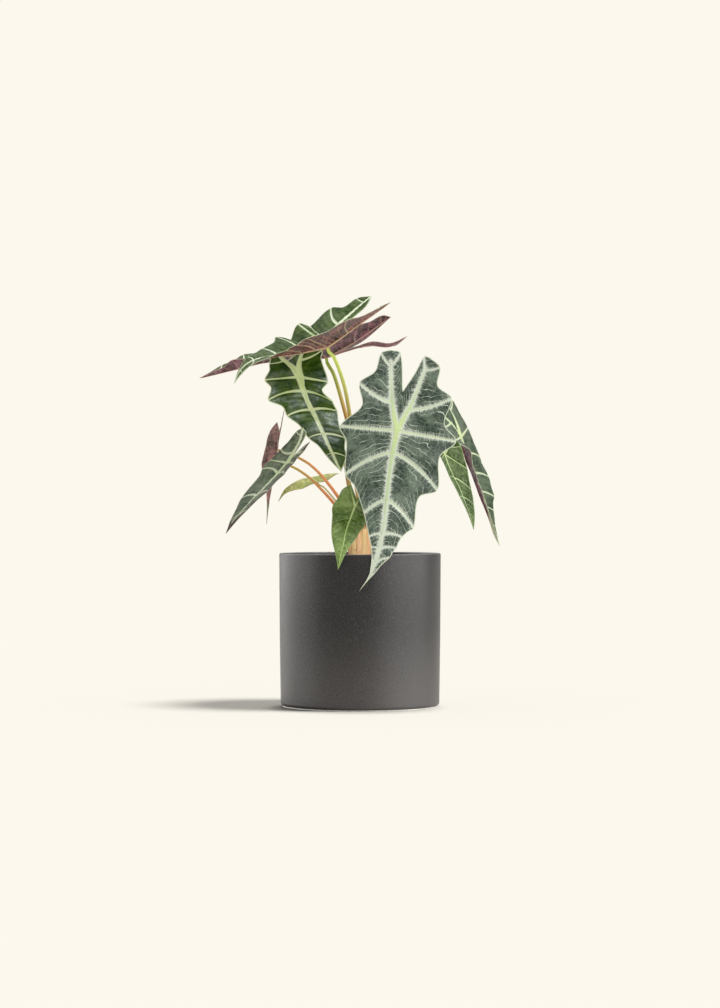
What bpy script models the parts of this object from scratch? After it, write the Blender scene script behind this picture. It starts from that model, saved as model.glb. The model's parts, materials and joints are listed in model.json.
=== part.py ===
"""A polly alocasia in a plain cylindrical pot, in metres, +Z up.

The origin is the centre of the flat face that the pot stands on. The plant is a clump of leaf
stalks (petioles) that rise from one sheathing stem base, each with one arrow-shaped blade.
"""

import math

import bpy
import bmesh
import numpy as np
from mathutils import Vector, noise

MM = 0.001
GAP = 0.3 * MM

POT_HEIGHT = 143.4 * MM
POT_RADIUS_TOP = 75.7 * MM
POT_RADIUS_MIDDLE = 75.2 * MM
POT_RADIUS_LOW = 74.4 * MM
POT_WALL = 4.5 * MM
POT_FLOOR = 7.0 * MM
POT_LIP_RADIUS = 1.4 * MM
POT_CORNER_RADIUS = 5.0 * MM
POT_FOOT_HEIGHT = 1.2 * MM
POT_FOOT_INSET = 1.5 * MM
POT_SIDES = 72

SOIL_TOP = 129.0 * MM
SOIL_BUMP = 1.6 * MM
SOIL_RINGS = 5
SOIL_SIDES = 40

STEM_RADIUS = 12.5 * MM
STEM_TOP_RADIUS = 11.6 * MM
STEM_BOTTOM = 112.0 * MM
STEM_TOP = 166.0 * MM
STEM_FLUTES = 7
STEM_FLUTE_DEPTH = 0.7 * MM
STEM_SIDES = 42

BLADE_THICKNESS = 0.7 * MM
STALK_END_GAP = 0.5 * MM
STALK_STRAIGHT_RADII = 2.8
STALK_END_TAPER = 0.6
STALK_POINTS = 14

VEIN_ARCH = 0.18
ARCH_FULL_AT = 0.15
PUCKER_FULL_REACH = 26 * MM
PUCKER_SPREAD = 0.85

# Places are x, y and z in millimetres. Each blade has a midrib from its stalk to its tip, and a
# costa up the middle of each of its two basal lobes. A row of outer or inner margin is (along, x,
# y, z, dip, peak): along is where its side vein leaves the costa, as a part of the costa's length
# and below nought. The margin curves in to a bay before the next vein: dip is its depth and peak
# how far along it lies, both as parts of the way there, and peak is left out where it is a half.
# A pair is two side veins that leave the midrib together, at the left and right hand of the
# blade's upper face, and the midrib parts they leave at are in pairs_at.
BLADES = {
    "leaf_front": {
        "colour": (0.055, 0.095, 0.07),
        "steps": 4,
        "rows": 5,
        "pucker": 1.2,
        "midrib": [(34, -55, 256.5), (28.5, -59, 228), (24.5, -66, 195), (21, -74, 165.5),
                   (14.5, -81, 138.5), (5.5, -84, 119.5), (-0.5, -85, 110.5)],
        "notch": (39.5, -44, 293.5),
        "left": {
            "costa": [(30.5, -50, 276), (29, -44, 294.5), (28.5, -36, 332)],
            "outer": [(-0.8, 19.5, -37, 329, 0.15), (-0.35, -0.5, -44, 301, 0.24, 0.42)],
            "inner": [(-0.8, 37.5, -36, 329, 0.0)],
            "pairs": [(-18.5, -50, 261, 0.09, 0.33), (-13.5, -58, 216.5, 0.07, 0.35), (3.5, -68, 180.5),
                      (8, -75, 159.5, 0.02), (10, -78, 150, 0.02), (10.5, -81, 139.5, 0.02),
                      (8, -84, 124, 0.0)],
        },
        "right": {
            "costa": [(40.5, -51, 268.5), (47, -47, 280.5), (53.5, -42, 296.5), (60, -38, 313),
                      (64.5, -36, 325)],
            "outer": [(-0.84, 74, -40, 315.5, 0.25), (-0.3, 84.5, -46, 286.5, 0.23, 0.57)],
            "inner": [(-0.84, 59.5, -36, 326, 0.02)],
            "pairs": [(88.5, -50, 247, 0.18, 0.4), (71, -60, 202, 0.25, 0.36), (49, -71, 167.5, 0.03),
                      (38.5, -75, 159, 0.04), (33, -78, 149, 0.03), (27, -81, 140.5, 0.04),
                      (13.5, -84, 126.5, 0.02)],
        },
        "pairs_at": [0.0, 0.13, 0.42, 0.63, 0.72, 0.81, 0.9],
        "stalk": [(5.5, -8, 170.5), (18.5, -4, 213.5), (28, -22, 243.5)],
        "root": (3.4, -8.0),
        "stalk_radius": (2.4, 1.9),
        "stalk_colour": (0.4, 0.26, 0.09),
    },
    "leaf_left": {
        "colour": (0.04, 0.085, 0.035),
        "steps": 4,
        "rows": 5,
        "pucker": 2.2,
        "midrib": [(-56, -8, 308), (-52.5, -10, 295), (-47.5, -13, 282.5), (-41, -17, 269.5),
                   (-33.5, -21, 253.5), (-25, -26, 235), (-17.5, -30, 219)],
        "notch": (-67.5, -5, 324),
        "left": {
            "costa": [(-64.5, -7, 318.5), (-73, -4, 325), (-81.5, -1, 333.5)],
            "outer": [(-0.6, -85, -6, 320.5, 0.1, 0.4)],
            "inner": [],
            "pairs": [(-89, -14, 305, 0.21, 0.45), (-85.5, -18, 286, 0.16, 0.62),
                      (-68, -18, 271, 0.07), (-48, -20, 250.5, 0.06), (-31.5, -24, 234)],
        },
        "right": {
            "costa": [(-57, -7, 318.5), (-54.5, -5, 329), (-48.5, -4, 337.5)],
            "outer": [(-0.5, -35.5, -8, 333, 0.06, 0.25)],
            "inner": [],
            "pairs": [(-29.5, -20, 303, 0.38, 0.3), (-25, -24, 284.5), (-21, -24, 276, 0.06),
                      (-13.5, -27, 250.5, 0.04), (-12.5, -29, 233)],
        },
        "pairs_at": [0.0, 0.14, 0.34, 0.6, 0.8],
        "stalk": [(-9.5, 2, 202.5), (-14, 4, 230.5), (-22.5, 6, 263.5), (-35.5, 6, 291),
                  (-47, 6, 305)],
        "root": (-3.2, -2.2),
        "stalk_radius": (2.4, 1.8),
        "stalk_colour": (0.3, 0.34, 0.08),
    },
    "leaf_top": {
        "colour": (0.045, 0.09, 0.04),
        "steps": 3,
        "rows": 4,
        "pucker": 1.8,
        "midrib": [(-30.5, -20, 336), (-46.5, -28, 331.5), (-64.5, -38, 327.5), (-83, -46, 325),
                   (-99, -53, 320.5), (-109, -57, 312.5), (-115.5, -60, 299.5)],
        "notch": (-18.5, -13, 350),
        "left": {
            "costa": [(-28, -12, 345.5), (-22.5, -4, 355), (-9.5, 10, 367.5), (2, 22, 378.5),
                      (11.5, 32, 386.5)],
            "outer": [(-0.85, -3, 34, 384.5, 0.34, 0.55), (-0.36, -27.5, 36, 375.5),
                      (-0.12, -47.5, 27, 357.5)],
            "inner": [(-0.7, 5.5, 14, 375, 0.03)],
            "pairs": [(-58.5, 24, 359.5), (-66.5, 12, 342.5), (-79, 4, 346, 0.17),
                      (-91, -18, 334, 0.06), (-103.5, -40, 325), (-111, -53, 313.5)],
        },
        "right": {
            "costa": [(-18.5, -26, 343.5), (-3.5, -33, 354), (10, -39, 363), (28.5, -46, 375.5)],
            "outer": [(-0.75, 18.5, -54, 370, 0.20), (-0.34, -13, -64, 357, 0.22)],
            "inner": [(-0.82, 15, -36, 367.5), (-0.6, 2, -24, 361.5)],
            "pairs": [(-48.5, -70, 340.5, 0.05), (-57.5, -70, 334.5, 0.03), (-67.5, -68, 329.5, 0.05),
                      (-84, -66, 322.5, 0.03), (-99.5, -64, 316, 0.02), (-108, -62, 308.5, 0.0)],
        },
        "pairs_at": [0.0, 0.13, 0.26, 0.5, 0.72, 0.87],
        "stalk": [(-4, -4, 212), (-8, -6, 258.5), (-11.5, -8, 284.5), (-16.5, -12, 306),
                  (-24.5, -17, 326.5)],
        "root": (2.9, -2.2),
        "stalk_radius": (2.4, 1.6),
        "stalk_colour": (0.36, 0.5, 0.07),
    },
    "leaf_upper_back": {
        "colour": (0.045, 0.085, 0.045),
        "steps": 3,
        "rows": 4,
        "pucker": 1.6,
        "midrib": [(-32, 40, 329.5), (-52.5, 36, 327.5), (-71, 30, 326), (-92.5, 22, 323),
                   (-113, 14, 317.5), (-131.5, 7, 312.5), (-150.5, 2, 307.5)],
        "notch": (-18, 43, 335),
        "left": {
            "costa": [(-14.5, 49, 335.5), (7.5, 57, 341.5), (29, 64, 341), (45.5, 70, 351)],
            "outer": [(-0.8, 34.5, 76, 342.5, 0.1), (-0.42, 2, 82, 341, 0.16)],
            "inner": [(-0.82, 29, 58, 343.5), (-0.55, 11.5, 50, 344.5, 0.04)],
            "pairs": [(-37, 84, 343.5, 0.2), (-70.5, 74, 341, 0.18), (-94, 60, 336, 0.12),
                      (-111.5, 44, 331.5, 0.08), (-130.5, 22, 320.5, 0.02)],
        },
        "right": {
            "costa": [(-14, 26, 338), (5.5, 12, 349.5), (19, 3, 358.5), (29, -4, 364.5)],
            "outer": [(-0.86, 20.5, -8, 365.5, 0.12), (-0.45, -2, -8, 356, 0.08)],
            "inner": [(-0.5, 2, 26, 343, 0.0)],
            "pairs": [(-39.5, 11, 333.5, 0.1), (-68.5, 9, 330.5, 0.1), (-92, 4, 327.5, 0.06),
                      (-120, -4, 324, 0.2), (-136.5, -3, 314, 0.03)],
        },
        "pairs_at": [0.0, 0.28, 0.5, 0.7, 0.88],
        "stalk": [(0, 12, 212), (-10, 20, 259.5), (-18, 28, 290), (-25, 35, 312.5)],
        "root": (0.0, 3.4),
        "stalk_radius": (2.4, 1.7),
        "stalk_colour": (0.36, 0.22, 0.05),
    },
    "leaf_low_left": {
        "colour": (0.045, 0.085, 0.05),
        "steps": 4,
        "rows": 4,
        "pucker": 1.2,
        "midrib": [(-66.5, -45, 227), (-74.5, -48, 218), (-84.5, -51, 207), (-96.5, -54, 195),
                   (-106.5, -56, 184), (-115.5, -58, 174), (-123, -60, 162)],
        "notch": (-62, -47, 232),
        "left": {
            "costa": [(-61, -43, 237.5), (-55.5, -40, 247.5), (-52.5, -38, 260)],
            "outer": [(-0.8, -59, -32, 256.5, 0.05), (-0.3, -73.5, -14, 240.5, 0.1)],
            "inner": [(-0.8, -49.5, -42, 254, 0.0)],
            "pairs": [(-84, -10, 230), (-91, -14, 222, 0.13, 0.3), (-109.5, -32, 195, 0.03),
                      (-119, -48, 174.5, 0.02)],
        },
        "right": {
            "costa": [(-58, -54, 234.5), (-51.5, -60, 240.5), (-45.5, -64, 246.5)],
            "outer": [(-0.5, -50.5, -72, 238, 0.03)],
            "inner": [(-0.5, -52.5, -54, 241.5, 0.0)],
            "pairs": [(-60, -78, 226.5, 0.03), (-69, -80, 216, 0.06), (-83.5, -80, 201, 0.05),
                      (-103, -72, 183.5, 0.03)],
        },
        "pairs_at": [0.0, 0.16, 0.48, 0.76],
        "stalk": [(-17, -12, 177.5), (-24, -16, 189.5), (-35.5, -22, 202.5), (-45.5, -28, 212.5),
                  (-55.5, -35, 220), (-62, -41, 223.5)],
        "root": (-5.6, -6.6),
        "stalk_radius": (1.7, 1.1),
        "stalk_colour": (0.6, 0.27, 0.09),
    },
    "leaf_back_left": {
        "colour": (0.06, 0.07, 0.045),
        "steps": 2,
        "rows": 3,
        "pucker": 1.0,
        "midrib": [(-78.5, 22, 240.5), (-80, 18, 229), (-82, 15, 216), (-84, 13, 202.5),
                   (-86.5, 12, 187.5), (-88, 12, 170.5)],
        "notch": (-77.5, 24, 247),
        "left": {
            "costa": [(-77, 28, 252), (-74.5, 33, 265.5), (-72, 36, 279)],
            "outer": [(-0.6, -74.5, 44, 265.5, 0.05)],
            "inner": [],
            "pairs": [(-82.5, 58, 243, 0.1), (-88, 56, 224, 0.1), (-86, 40, 204.5, 0.08),
                      (-86, 24, 189.5, 0.03)],
        },
        "right": {
            "costa": [(-78.5, 18, 250), (-78, 14, 258), (-78, 10, 266.5)],
            "outer": [(-0.7, -83.5, 1, 259, 0.02), (-0.35, -86.5, -2, 251.5, 0.08)],
            "inner": [(-0.5, -76, 19, 256.5, 0.0)],
            "pairs": [(-90, -3, 236, 0.02), (-92, -4, 225.5, 0.06), (-89, 3, 208, 0.05),
                      (-87.5, 8, 191.5, 0.03)],
        },
        "pairs_at": [0.0, 0.16, 0.45, 0.72],
        "stalk": [(-14, -6, 184), (-20.5, -8, 196), (-35.5, -10, 215.5), (-46.5, -9, 226),
                  (-57, -4, 232.5), (-66, 5, 237.5), (-72.5, 14, 240.5)],
        "root": (-8.6, -0.8),
        "stalk_radius": (1.7, 1.05),
        "stalk_colour": (0.58, 0.28, 0.08),
    },
    "leaf_small_front": {
        "colour": (0.08, 0.15, 0.035),
        "steps": 2,
        "rows": 3,
        "pucker": 0.8,
        "midrib": [(-4.5, -50, 187.5), (-9, -56, 175.5), (-13, -64, 164), (-15.5, -73, 152),
                   (-18, -79, 141), (-20, -81, 129.5)],
        "notch": (-3, -48, 194),
        "left": {
            "costa": [(-6.5, -47, 195), (-8, -44, 201.5), (-8, -42, 207.5)],
            "outer": [(-0.55, -16, -42, 203, 0.02)],
            "inner": [],
            "pairs": [(-25.5, -46, 186.5, 0.02), (-26, -56, 171, -0.02), (-25.5, -67, 156.5, 0.0),
                      (-22.5, -77, 144, 0.02)],
        },
        "right": {
            "costa": [(-1, -46, 194), (2, -43, 199.5)],
            "outer": [(-0.5, 6.5, -43, 191, 0.03)],
            "inner": [],
            "pairs": [(7.5, -50, 178.5, 0.02), (4, -57, 169, 0.02), (-4, -67, 157.5, 0.02),
                      (-14, -78, 142, 0.0)],
        },
        "pairs_at": [0.0, 0.2, 0.46, 0.76],
        "stalk": [(-3.5, -18, 169), (-3, -28, 178.5), (-3.5, -38, 185)],
        "root": (-1.2, -8.9),
        "stalk_radius": (1.9, 1.4),
        "stalk_colour": (0.42, 0.42, 0.1),
    },
    "leaf_small_back": {
        "colour": (0.26, 0.3, 0.09),
        "steps": 2,
        "rows": 3,
        "pucker": 0.5,
        "midrib": [(-40, 26, 211), (-49, 22, 209.5), (-58.5, 18, 207.5), (-67, 15, 203.5),
                   (-72.5, 13, 199), (-77, 11, 191.5)],
        "notch": (-35, 26, 213),
        "left": {
            "costa": [(-33, 30, 214), (-26.5, 35, 216.5), (-20, 38, 218.5)],
            "outer": [(-0.5, -31.5, 45, 218, 0.02)],
            "inner": [],
            "pairs": [(-46, 48, 215, 0.02), (-56, 43, 213, 0.0), (-67.5, 29, 206.5, 0.0),
                      (-72.5, 18, 201, 0.0)],
        },
        "right": {
            "costa": [(-33, 21, 213), (-27.5, 16, 215), (-21.5, 12, 218)],
            "outer": [(-0.5, -32, 7, 211, 0.02)],
            "inner": [],
            "pairs": [(-45, 3, 208, 0.0), (-53.5, 3, 204, 0.0), (-65, 7, 201.5, 0.0),
                      (-71, 9, 198.5, 0.0)],
        },
        "pairs_at": [0.0, 0.28, 0.56, 0.8],
        "stalk": [(-11.5, 8, 179), (-25.5, 16, 195.5), (-34, 22, 205)],
        "root": (-6.6, 5.4),
        "stalk_radius": (1.1, 0.65),
        "stalk_colour": (0.55, 0.5, 0.12),
    },
    "leaf_right": {
        "colour": (0.06, 0.095, 0.06),
        "steps": 3,
        "rows": 4,
        "pucker": 1.2,
        "midrib": [(95, 15, 252.5), (97.5, 13, 241), (100.5, 11, 230), (104.5, 9, 220.5),
                   (109, 7, 208), (113, 5, 196.5), (117.5, 4, 185.5), (122, 3, 173.5),
                   (125.5, 2, 162), (131, 0, 150)],
        "notch": (82.5, 13, 277),
        "left": {
            "costa": [(88.5, 8, 262), (80.5, 1, 269.5), (72, -5, 277.5)],
            "outer": [(-0.5, 76.5, -13, 261, 0.05)],
            "inner": [],
            "pairs": [(88.5, -14, 248, 0.05), (103, -12, 239, 0.1), (105.5, -14, 224, 0.02),
                      (110.5, -12, 210, 0.02), (116.5, -8, 194.5, 0.02), (122.5, -2, 177, 0.0)],
        },
        "right": {
            "costa": [(91.5, 20, 264), (86, 26, 276.5), (79, 32, 292)],
            "outer": [(-0.65, 87.5, 42, 289, 0.03)],
            "inner": [],
            "pairs": [(102.5, 40, 262, 0.04), (114, 38, 234, 0.1, 0.35), (122, 28, 215, 0.04),
                      (127, 18, 196, 0.09, 0.4), (126, 12, 183), (127.5, 7, 168)],
        },
        "pairs_at": [0.0, 0.16, 0.34, 0.5, 0.64, 0.8],
        "stalk": [(17, 8, 193), (42.5, 18, 226), (68, 28, 248), (85.5, 27, 255)],
        "root": (6.4, 5.6),
        "stalk_radius": (2.2, 1.6),
        "stalk_colour": (0.42, 0.36, 0.09),
    },
    "leaf_small_right": {
        "colour": (0.075, 0.14, 0.035),
        "steps": 2,
        "rows": 3,
        "pucker": 0.8,
        "midrib": [(78, -30, 235.5), (81.5, -32, 225.5), (86, -34, 215.5), (92, -36, 203.5),
                   (96.5, -38, 192), (100.5, -39, 181), (105, -40, 165.5)],
        "notch": (78, -30, 242),
        "left": {
            "costa": [(75, -35, 240.5), (72, -40, 245.5)],
            "outer": [(-0.5, 71, -46, 237.5, 0.02)],
            "inner": [],
            "pairs": [(75, -48, 231, 0.0), (82.5, -50, 214, 0.0), (92, -49, 195.5, 0.0),
                      (100, -45, 179, 0.0)],
        },
        "right": {
            "costa": [(82.5, -27, 243), (87.5, -23, 250.5)],
            "outer": [(-0.5, 94, -16, 243.5, 0.02)],
            "inner": [],
            "pairs": [(100, -13, 222, 0.04), (103.5, -19, 202.5, 0.0), (105.5, -28, 188.5, 0.0),
                      (106, -35, 176.5, 0.0)],
        },
        "pairs_at": [0.0, 0.32, 0.58, 0.8],
        "stalk": [(18.5, -4, 185.5), (37.5, -8, 205.5), (59.5, -14, 227.5), (71.5, -20, 235)],
        "root": (8.4, -2.0),
        "stalk_radius": (1.9, 1.4),
        "stalk_colour": (0.44, 0.42, 0.1),
    },
}

POT_COLOUR = (0.060, 0.056, 0.054)
SOIL_COLOUR = (0.045, 0.030, 0.020)
STEM_COLOUR = (0.62, 0.30, 0.13)


def clear_scene():
    for thing in list(bpy.data.objects):
        bpy.data.objects.remove(thing, do_unlink=True)


def material(name, colour, roughness):
    made = bpy.data.materials.new(name)
    made.use_nodes = True
    shader = made.node_tree.nodes["Principled BSDF"]
    shader.inputs["Base Color"].default_value = (*colour, 1.0)
    shader.inputs["Roughness"].default_value = roughness
    shader.inputs["Metallic"].default_value = 0.0
    return made


def place(x, y, z):
    return Vector((x, y, z)) * MM


def smooth_curve(points):
    """A function from 0..1 to a point on the smooth curve through these points."""
    lengths = [0.0]
    for before, after in zip(points, points[1:]):
        lengths.append(lengths[-1] + (after - before).length)
    knots = [length / lengths[-1] for length in lengths]
    slopes = []
    for index in range(len(points)):
        low = max(index - 1, 0)
        high = min(index + 1, len(points) - 1)
        slopes.append((points[high] - points[low]) / (knots[high] - knots[low]))

    def at(part):
        part = min(max(part, 0.0), 1.0)
        index = 0
        while index < len(knots) - 2 and part > knots[index + 1]:
            index += 1
        span = knots[index + 1] - knots[index]
        t = (part - knots[index]) / span
        return ((2 * t**3 - 3 * t**2 + 1) * points[index]
                + (t**3 - 2 * t**2 + t) * span * slopes[index]
                + (3 * t**2 - 2 * t**3) * points[index + 1]
                + (t**3 - t**2) * span * slopes[index + 1])

    return at


def solid_object(name, points, faces, made_of, smooth=True):
    mesh = bpy.data.meshes.new(name)
    mesh.from_pydata([tuple(point) for point in points], [], faces)
    mesh.validate()
    mesh.materials.append(made_of)
    shape = bmesh.new()
    shape.from_mesh(mesh)
    bmesh.ops.recalc_face_normals(shape, faces=shape.faces)
    shape.to_mesh(mesh)
    shape.free()
    if smooth:
        mesh.shade_smooth()
        mesh.set_sharp_from_angle(angle=math.radians(40))
    thing = bpy.data.objects.new(name, mesh)
    bpy.context.scene.collection.objects.link(thing)
    return thing


def turned(name, profile, sides, made_of):
    """A turned solid: its profile is (radius, height) from the axis, round and back to it."""
    points, faces, rings = [], [], []
    for radius, height in profile:
        if radius == 0.0:
            rings.append([len(points)])
            points.append((0.0, 0.0, height))
            continue
        rings.append(list(range(len(points), len(points) + sides)))
        for side in range(sides):
            angle = math.tau * side / sides
            points.append((radius * math.cos(angle), radius * math.sin(angle), height))
    for lower, upper in zip(rings, rings[1:]):
        for side in range(sides):
            after = (side + 1) % sides
            corners = [lower[side % len(lower)], lower[after % len(lower)],
                       upper[after % len(upper)], upper[side % len(upper)]]
            faces.append(list(dict.fromkeys(corners)))
    return solid_object(name, points, faces, made_of)


def arc(centre, radius, start, end, steps):
    """Points on an arc of a profile, with its angles in degrees."""
    turned_points = []
    for step in range(steps + 1):
        angle = math.radians(start + (end - start) * step / steps)
        turned_points.append((centre[0] + radius * math.cos(angle),
                              centre[1] + radius * math.sin(angle)))
    return turned_points


def make_pot():
    inner = POT_RADIUS_TOP - POT_WALL
    foot = POT_RADIUS_LOW - POT_FOOT_INSET - POT_CORNER_RADIUS * 0.5
    corner = (POT_RADIUS_LOW - POT_CORNER_RADIUS, POT_FOOT_HEIGHT + POT_CORNER_RADIUS)
    profile = [(0.0, 0.0), (foot, 0.0), (foot, POT_FOOT_HEIGHT)]
    profile += arc(corner, POT_CORNER_RADIUS, -70, 0, 4)
    profile += [(POT_RADIUS_MIDDLE, POT_HEIGHT * 0.45)]
    profile += arc((POT_RADIUS_TOP - POT_LIP_RADIUS, POT_HEIGHT - POT_LIP_RADIUS),
                   POT_LIP_RADIUS, 0, 90, 3)
    profile += arc((inner + POT_LIP_RADIUS, POT_HEIGHT - POT_LIP_RADIUS),
                   POT_LIP_RADIUS, 90, 180, 3)
    profile += [(inner, POT_FLOOR), (0.0, POT_FLOOR)]
    turned("pot", profile, POT_SIDES, material("glazed_stoneware", POT_COLOUR, 0.55))


def make_soil():
    """The soil fills the pot, with a crumbly top and a plain round hole for the stem base."""
    outer = POT_RADIUS_TOP - POT_WALL - GAP
    hole = STEM_RADIUS + GAP
    bottom = POT_FLOOR + GAP
    points, faces, rings = [], [], []

    def ring(radius, height, bump):
        row = []
        for side in range(SOIL_SIDES):
            angle = math.tau * side / SOIL_SIDES
            x = radius * math.cos(angle)
            y = radius * math.sin(angle)
            lift = bump * noise.noise(Vector((x, y, 0.0)) * 90.0)
            row.append(len(points))
            points.append((x, y, height + lift))
        rings.append(row)

    ring(outer, bottom, 0.0)
    ring(outer, SOIL_TOP, SOIL_BUMP * 0.5)
    for step in range(1, SOIL_RINGS):
        ring(outer + (hole - outer) * step / SOIL_RINGS, SOIL_TOP, SOIL_BUMP)
    ring(hole, SOIL_TOP, 0.0)
    ring(hole, STEM_BOTTOM - GAP, 0.0)
    for lower, upper in zip(rings, rings[1:]):
        for side in range(SOIL_SIDES):
            after = (side + 1) % SOIL_SIDES
            faces.append([lower[side], lower[after], upper[after]])
            faces.append([lower[side], upper[after], upper[side]])
    faces.append(rings[0][::-1])
    faces.append(rings[-1])
    solid_object("soil", points, faces, material("potting_soil", SOIL_COLOUR, 0.95))


def make_stem_base():
    """Close-set leaf sheaths that have grown as one body, with shallow flutes between them."""
    profile = [(STEM_RADIUS, STEM_BOTTOM, 0.0), (STEM_RADIUS, SOIL_TOP, 0.0),
               (STEM_RADIUS, SOIL_TOP + 5 * MM, 1.0),
               (STEM_TOP_RADIUS, STEM_TOP - 12 * MM, 1.0), (STEM_TOP_RADIUS, STEM_TOP, 0.6)]
    points, faces = [], []
    for radius, height, flute in profile:
        for side in range(STEM_SIDES):
            angle = math.tau * side / STEM_SIDES
            dent = STEM_FLUTE_DEPTH * flute * (0.5 + 0.5 * math.cos(angle * STEM_FLUTES))
            reach = radius - dent
            points.append((reach * math.cos(angle), reach * math.sin(angle), height))
    for row in range(len(profile) - 1):
        for side in range(STEM_SIDES):
            low = row * STEM_SIDES
            after = (side + 1) % STEM_SIDES
            high = low + STEM_SIDES
            faces.append([low + side, low + after, high + after, high + side])
    faces.append(list(range(STEM_SIDES))[::-1])
    faces.append(list(range(len(points) - STEM_SIDES, len(points))))
    solid_object("stem_base", points, faces, material("leaf_sheaths", STEM_COLOUR, 0.5))


class Margin:
    """A waved edge through vein ends, rounded where it passes each of them and each bay."""

    def __init__(self, knots, rib):
        self.alongs, points = [], []
        for first, last in zip(knots, knots[1:]):
            self.alongs.append(first[0])
            points.append(first[1])
            if first[2]:
                self.alongs.append(first[0] + (last[0] - first[0]) * first[3])
                points.append(bay_point(first, last, rib))
        self.alongs.append(knots[-1][0])
        points.append(knots[-1][1])
        self.curve = smooth_curve(points)
        lengths = [0.0]
        for before, after in zip(points, points[1:]):
            lengths.append(lengths[-1] + (after - before).length)
        self.parts = [length / lengths[-1] for length in lengths]

    def at(self, along):
        """The point of the edge that is level with this place of the rib."""
        return self.curve(float(np.interp(along, self.alongs, self.parts)))


class Blade:
    """One blade's middle surface, as rows of points from a rib out to the margin."""

    def __init__(self, shape):
        self.shape = shape
        self.midrib = smooth_curve([place(*spot) for spot in shape["midrib"]])
        self.junction = self.midrib(0.0)
        self.patches = []
        for hand in ("left", "right"):
            self.add_half(shape[hand], 1 if hand == "right" else -1)

    def add_half(self, half, side):
        costa = smooth_curve([self.junction] + [place(*spot) for spot in half["costa"]])

        def rib(along):
            return costa(-along) if along < 0 else self.midrib(along)

        lobe_tip = (-1.0, costa(1.0), 0.0, 0.5)
        knots = [lobe_tip] + [knot(*spot) for spot in half["outer"]]
        for along, spot in zip(self.shape["pairs_at"], half["pairs"]):
            knots.append(knot(along, *spot))
        knots.append((1.0, self.midrib(1.0), 0.0, 0.5))
        outer = Margin(knots, rib)
        notch = (0.0, place(*self.shape["notch"]), 0.0, 0.5)
        inner = Margin([lobe_tip] + [knot(*spot) for spot in half["inner"]] + [notch], rib)

        outer_rays, stations = [], []
        for first, last in zip(knots, knots[1:]):
            for step in range(self.shape["steps"]):
                part = step / self.shape["steps"]
                along = first[0] + (last[0] - first[0]) * part
                stations.append(along)
                outer_rays.append((along, outer.at(along), part))
        outer_rays.append((1.0, outer.at(1.0), 0.0))
        inner_rays = []
        for along in [station for station in stations if station < 0] + [0.0]:
            inner_rays.append((along, inner.at(along), min(-along, 0.5)))
        self.patches.append(self.patch(outer_rays, rib, side, 1.0))
        self.patches.append(self.patch(inner_rays, rib, -side, 0.4))

    def patch(self, rays, rib, side, fullness):
        """Rows of points over one patch, arched along its veins and puckered between them."""
        count = self.shape["rows"]
        rows = []
        for along, margin, _ in rays:
            root = rib(along)
            if (margin - root).length < 0.01 * MM:
                rows.append([root] * (count + 1))
                continue
            ahead = rib(min(along + 0.02, 1.0)) - rib(max(along - 0.02, -1.0))
            bend = VEIN_ARCH * min(max(along / ARCH_FULL_AT, -1.0), 1.0)
            middle = (root + margin) / 2 - ahead.normalized() * bend * (margin - root).length
            rows.append([bezier(root, middle, margin, step / count)
                         for step in range(count + 1)])
        lifted = []
        for index, (_, margin, part) in enumerate(rays):
            before = rows[max(index - 1, 0)]
            after = rows[min(index + 1, len(rows) - 1)]
            reach = (margin - rows[index][0]).length
            swell = self.shape["pucker"] * MM * fullness * math.sin(math.pi * part)
            swell *= min(reach / PUCKER_FULL_REACH, 1.0)
            row = []
            for step, point in enumerate(rows[index]):
                inward = rows[index][max(step - 1, 0)]
                outward = rows[index][min(step + 1, count)]
                up = (after[step] - before[step]).cross(outward - inward) * side
                if step and up.length > 1e-12:
                    lift = swell * math.sin(math.pi * PUCKER_SPREAD * step / count)
                    point = point + up.normalized() * lift
                row.append(point)
            lifted.append(row)
        return lifted, side

    def middle_surface(self):
        """The patches as one triangle mesh, facing the upper face's way, with shared points."""
        points, index_of, triangles = [], {}, []

        def index(point):
            key = tuple(round(value, 7) for value in point)
            if key not in index_of:
                index_of[key] = len(points)
                points.append(point)
            return index_of[key]

        for rows, side in self.patches:
            for row, beyond in zip(rows, rows[1:]):
                for step in range(len(row) - 1):
                    a, b = index(row[step]), index(row[step + 1])
                    c, d = index(beyond[step + 1]), index(beyond[step])
                    for corners in ((a, d, c), (a, c, b)):
                        if len(set(corners)) == 3:
                            triangles.append(corners if side > 0 else corners[::-1])
        return points, triangles


def knot(along, x, y, z, dip=0.0, peak=0.5):
    return along, place(x, y, z), dip, peak


def bezier(start, middle, end, part):
    return start * (1 - part)**2 + middle * (2 * part * (1 - part)) + end * part**2


def bay_point(first, last, rib):
    """The deepest point of the bay between two vein ends, drawn in from the way between them."""
    chord = last[1] - first[1]
    inward = rib((first[0] + last[0]) / 2) - (first[1] + last[1]) / 2
    inward -= chord * (inward.dot(chord) / chord.length_squared)
    return first[1] + chord * first[3] + inward.normalized() * first[2] * chord.length


def point_normals(points, triangles):
    normals = [Vector((0.0, 0.0, 0.0)) for _ in points]
    for a, b, c in triangles:
        facing = (points[b] - points[a]).cross(points[c] - points[a])
        for corner in (a, b, c):
            normals[corner] += facing
    return [normal.normalized() for normal in normals]


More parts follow.
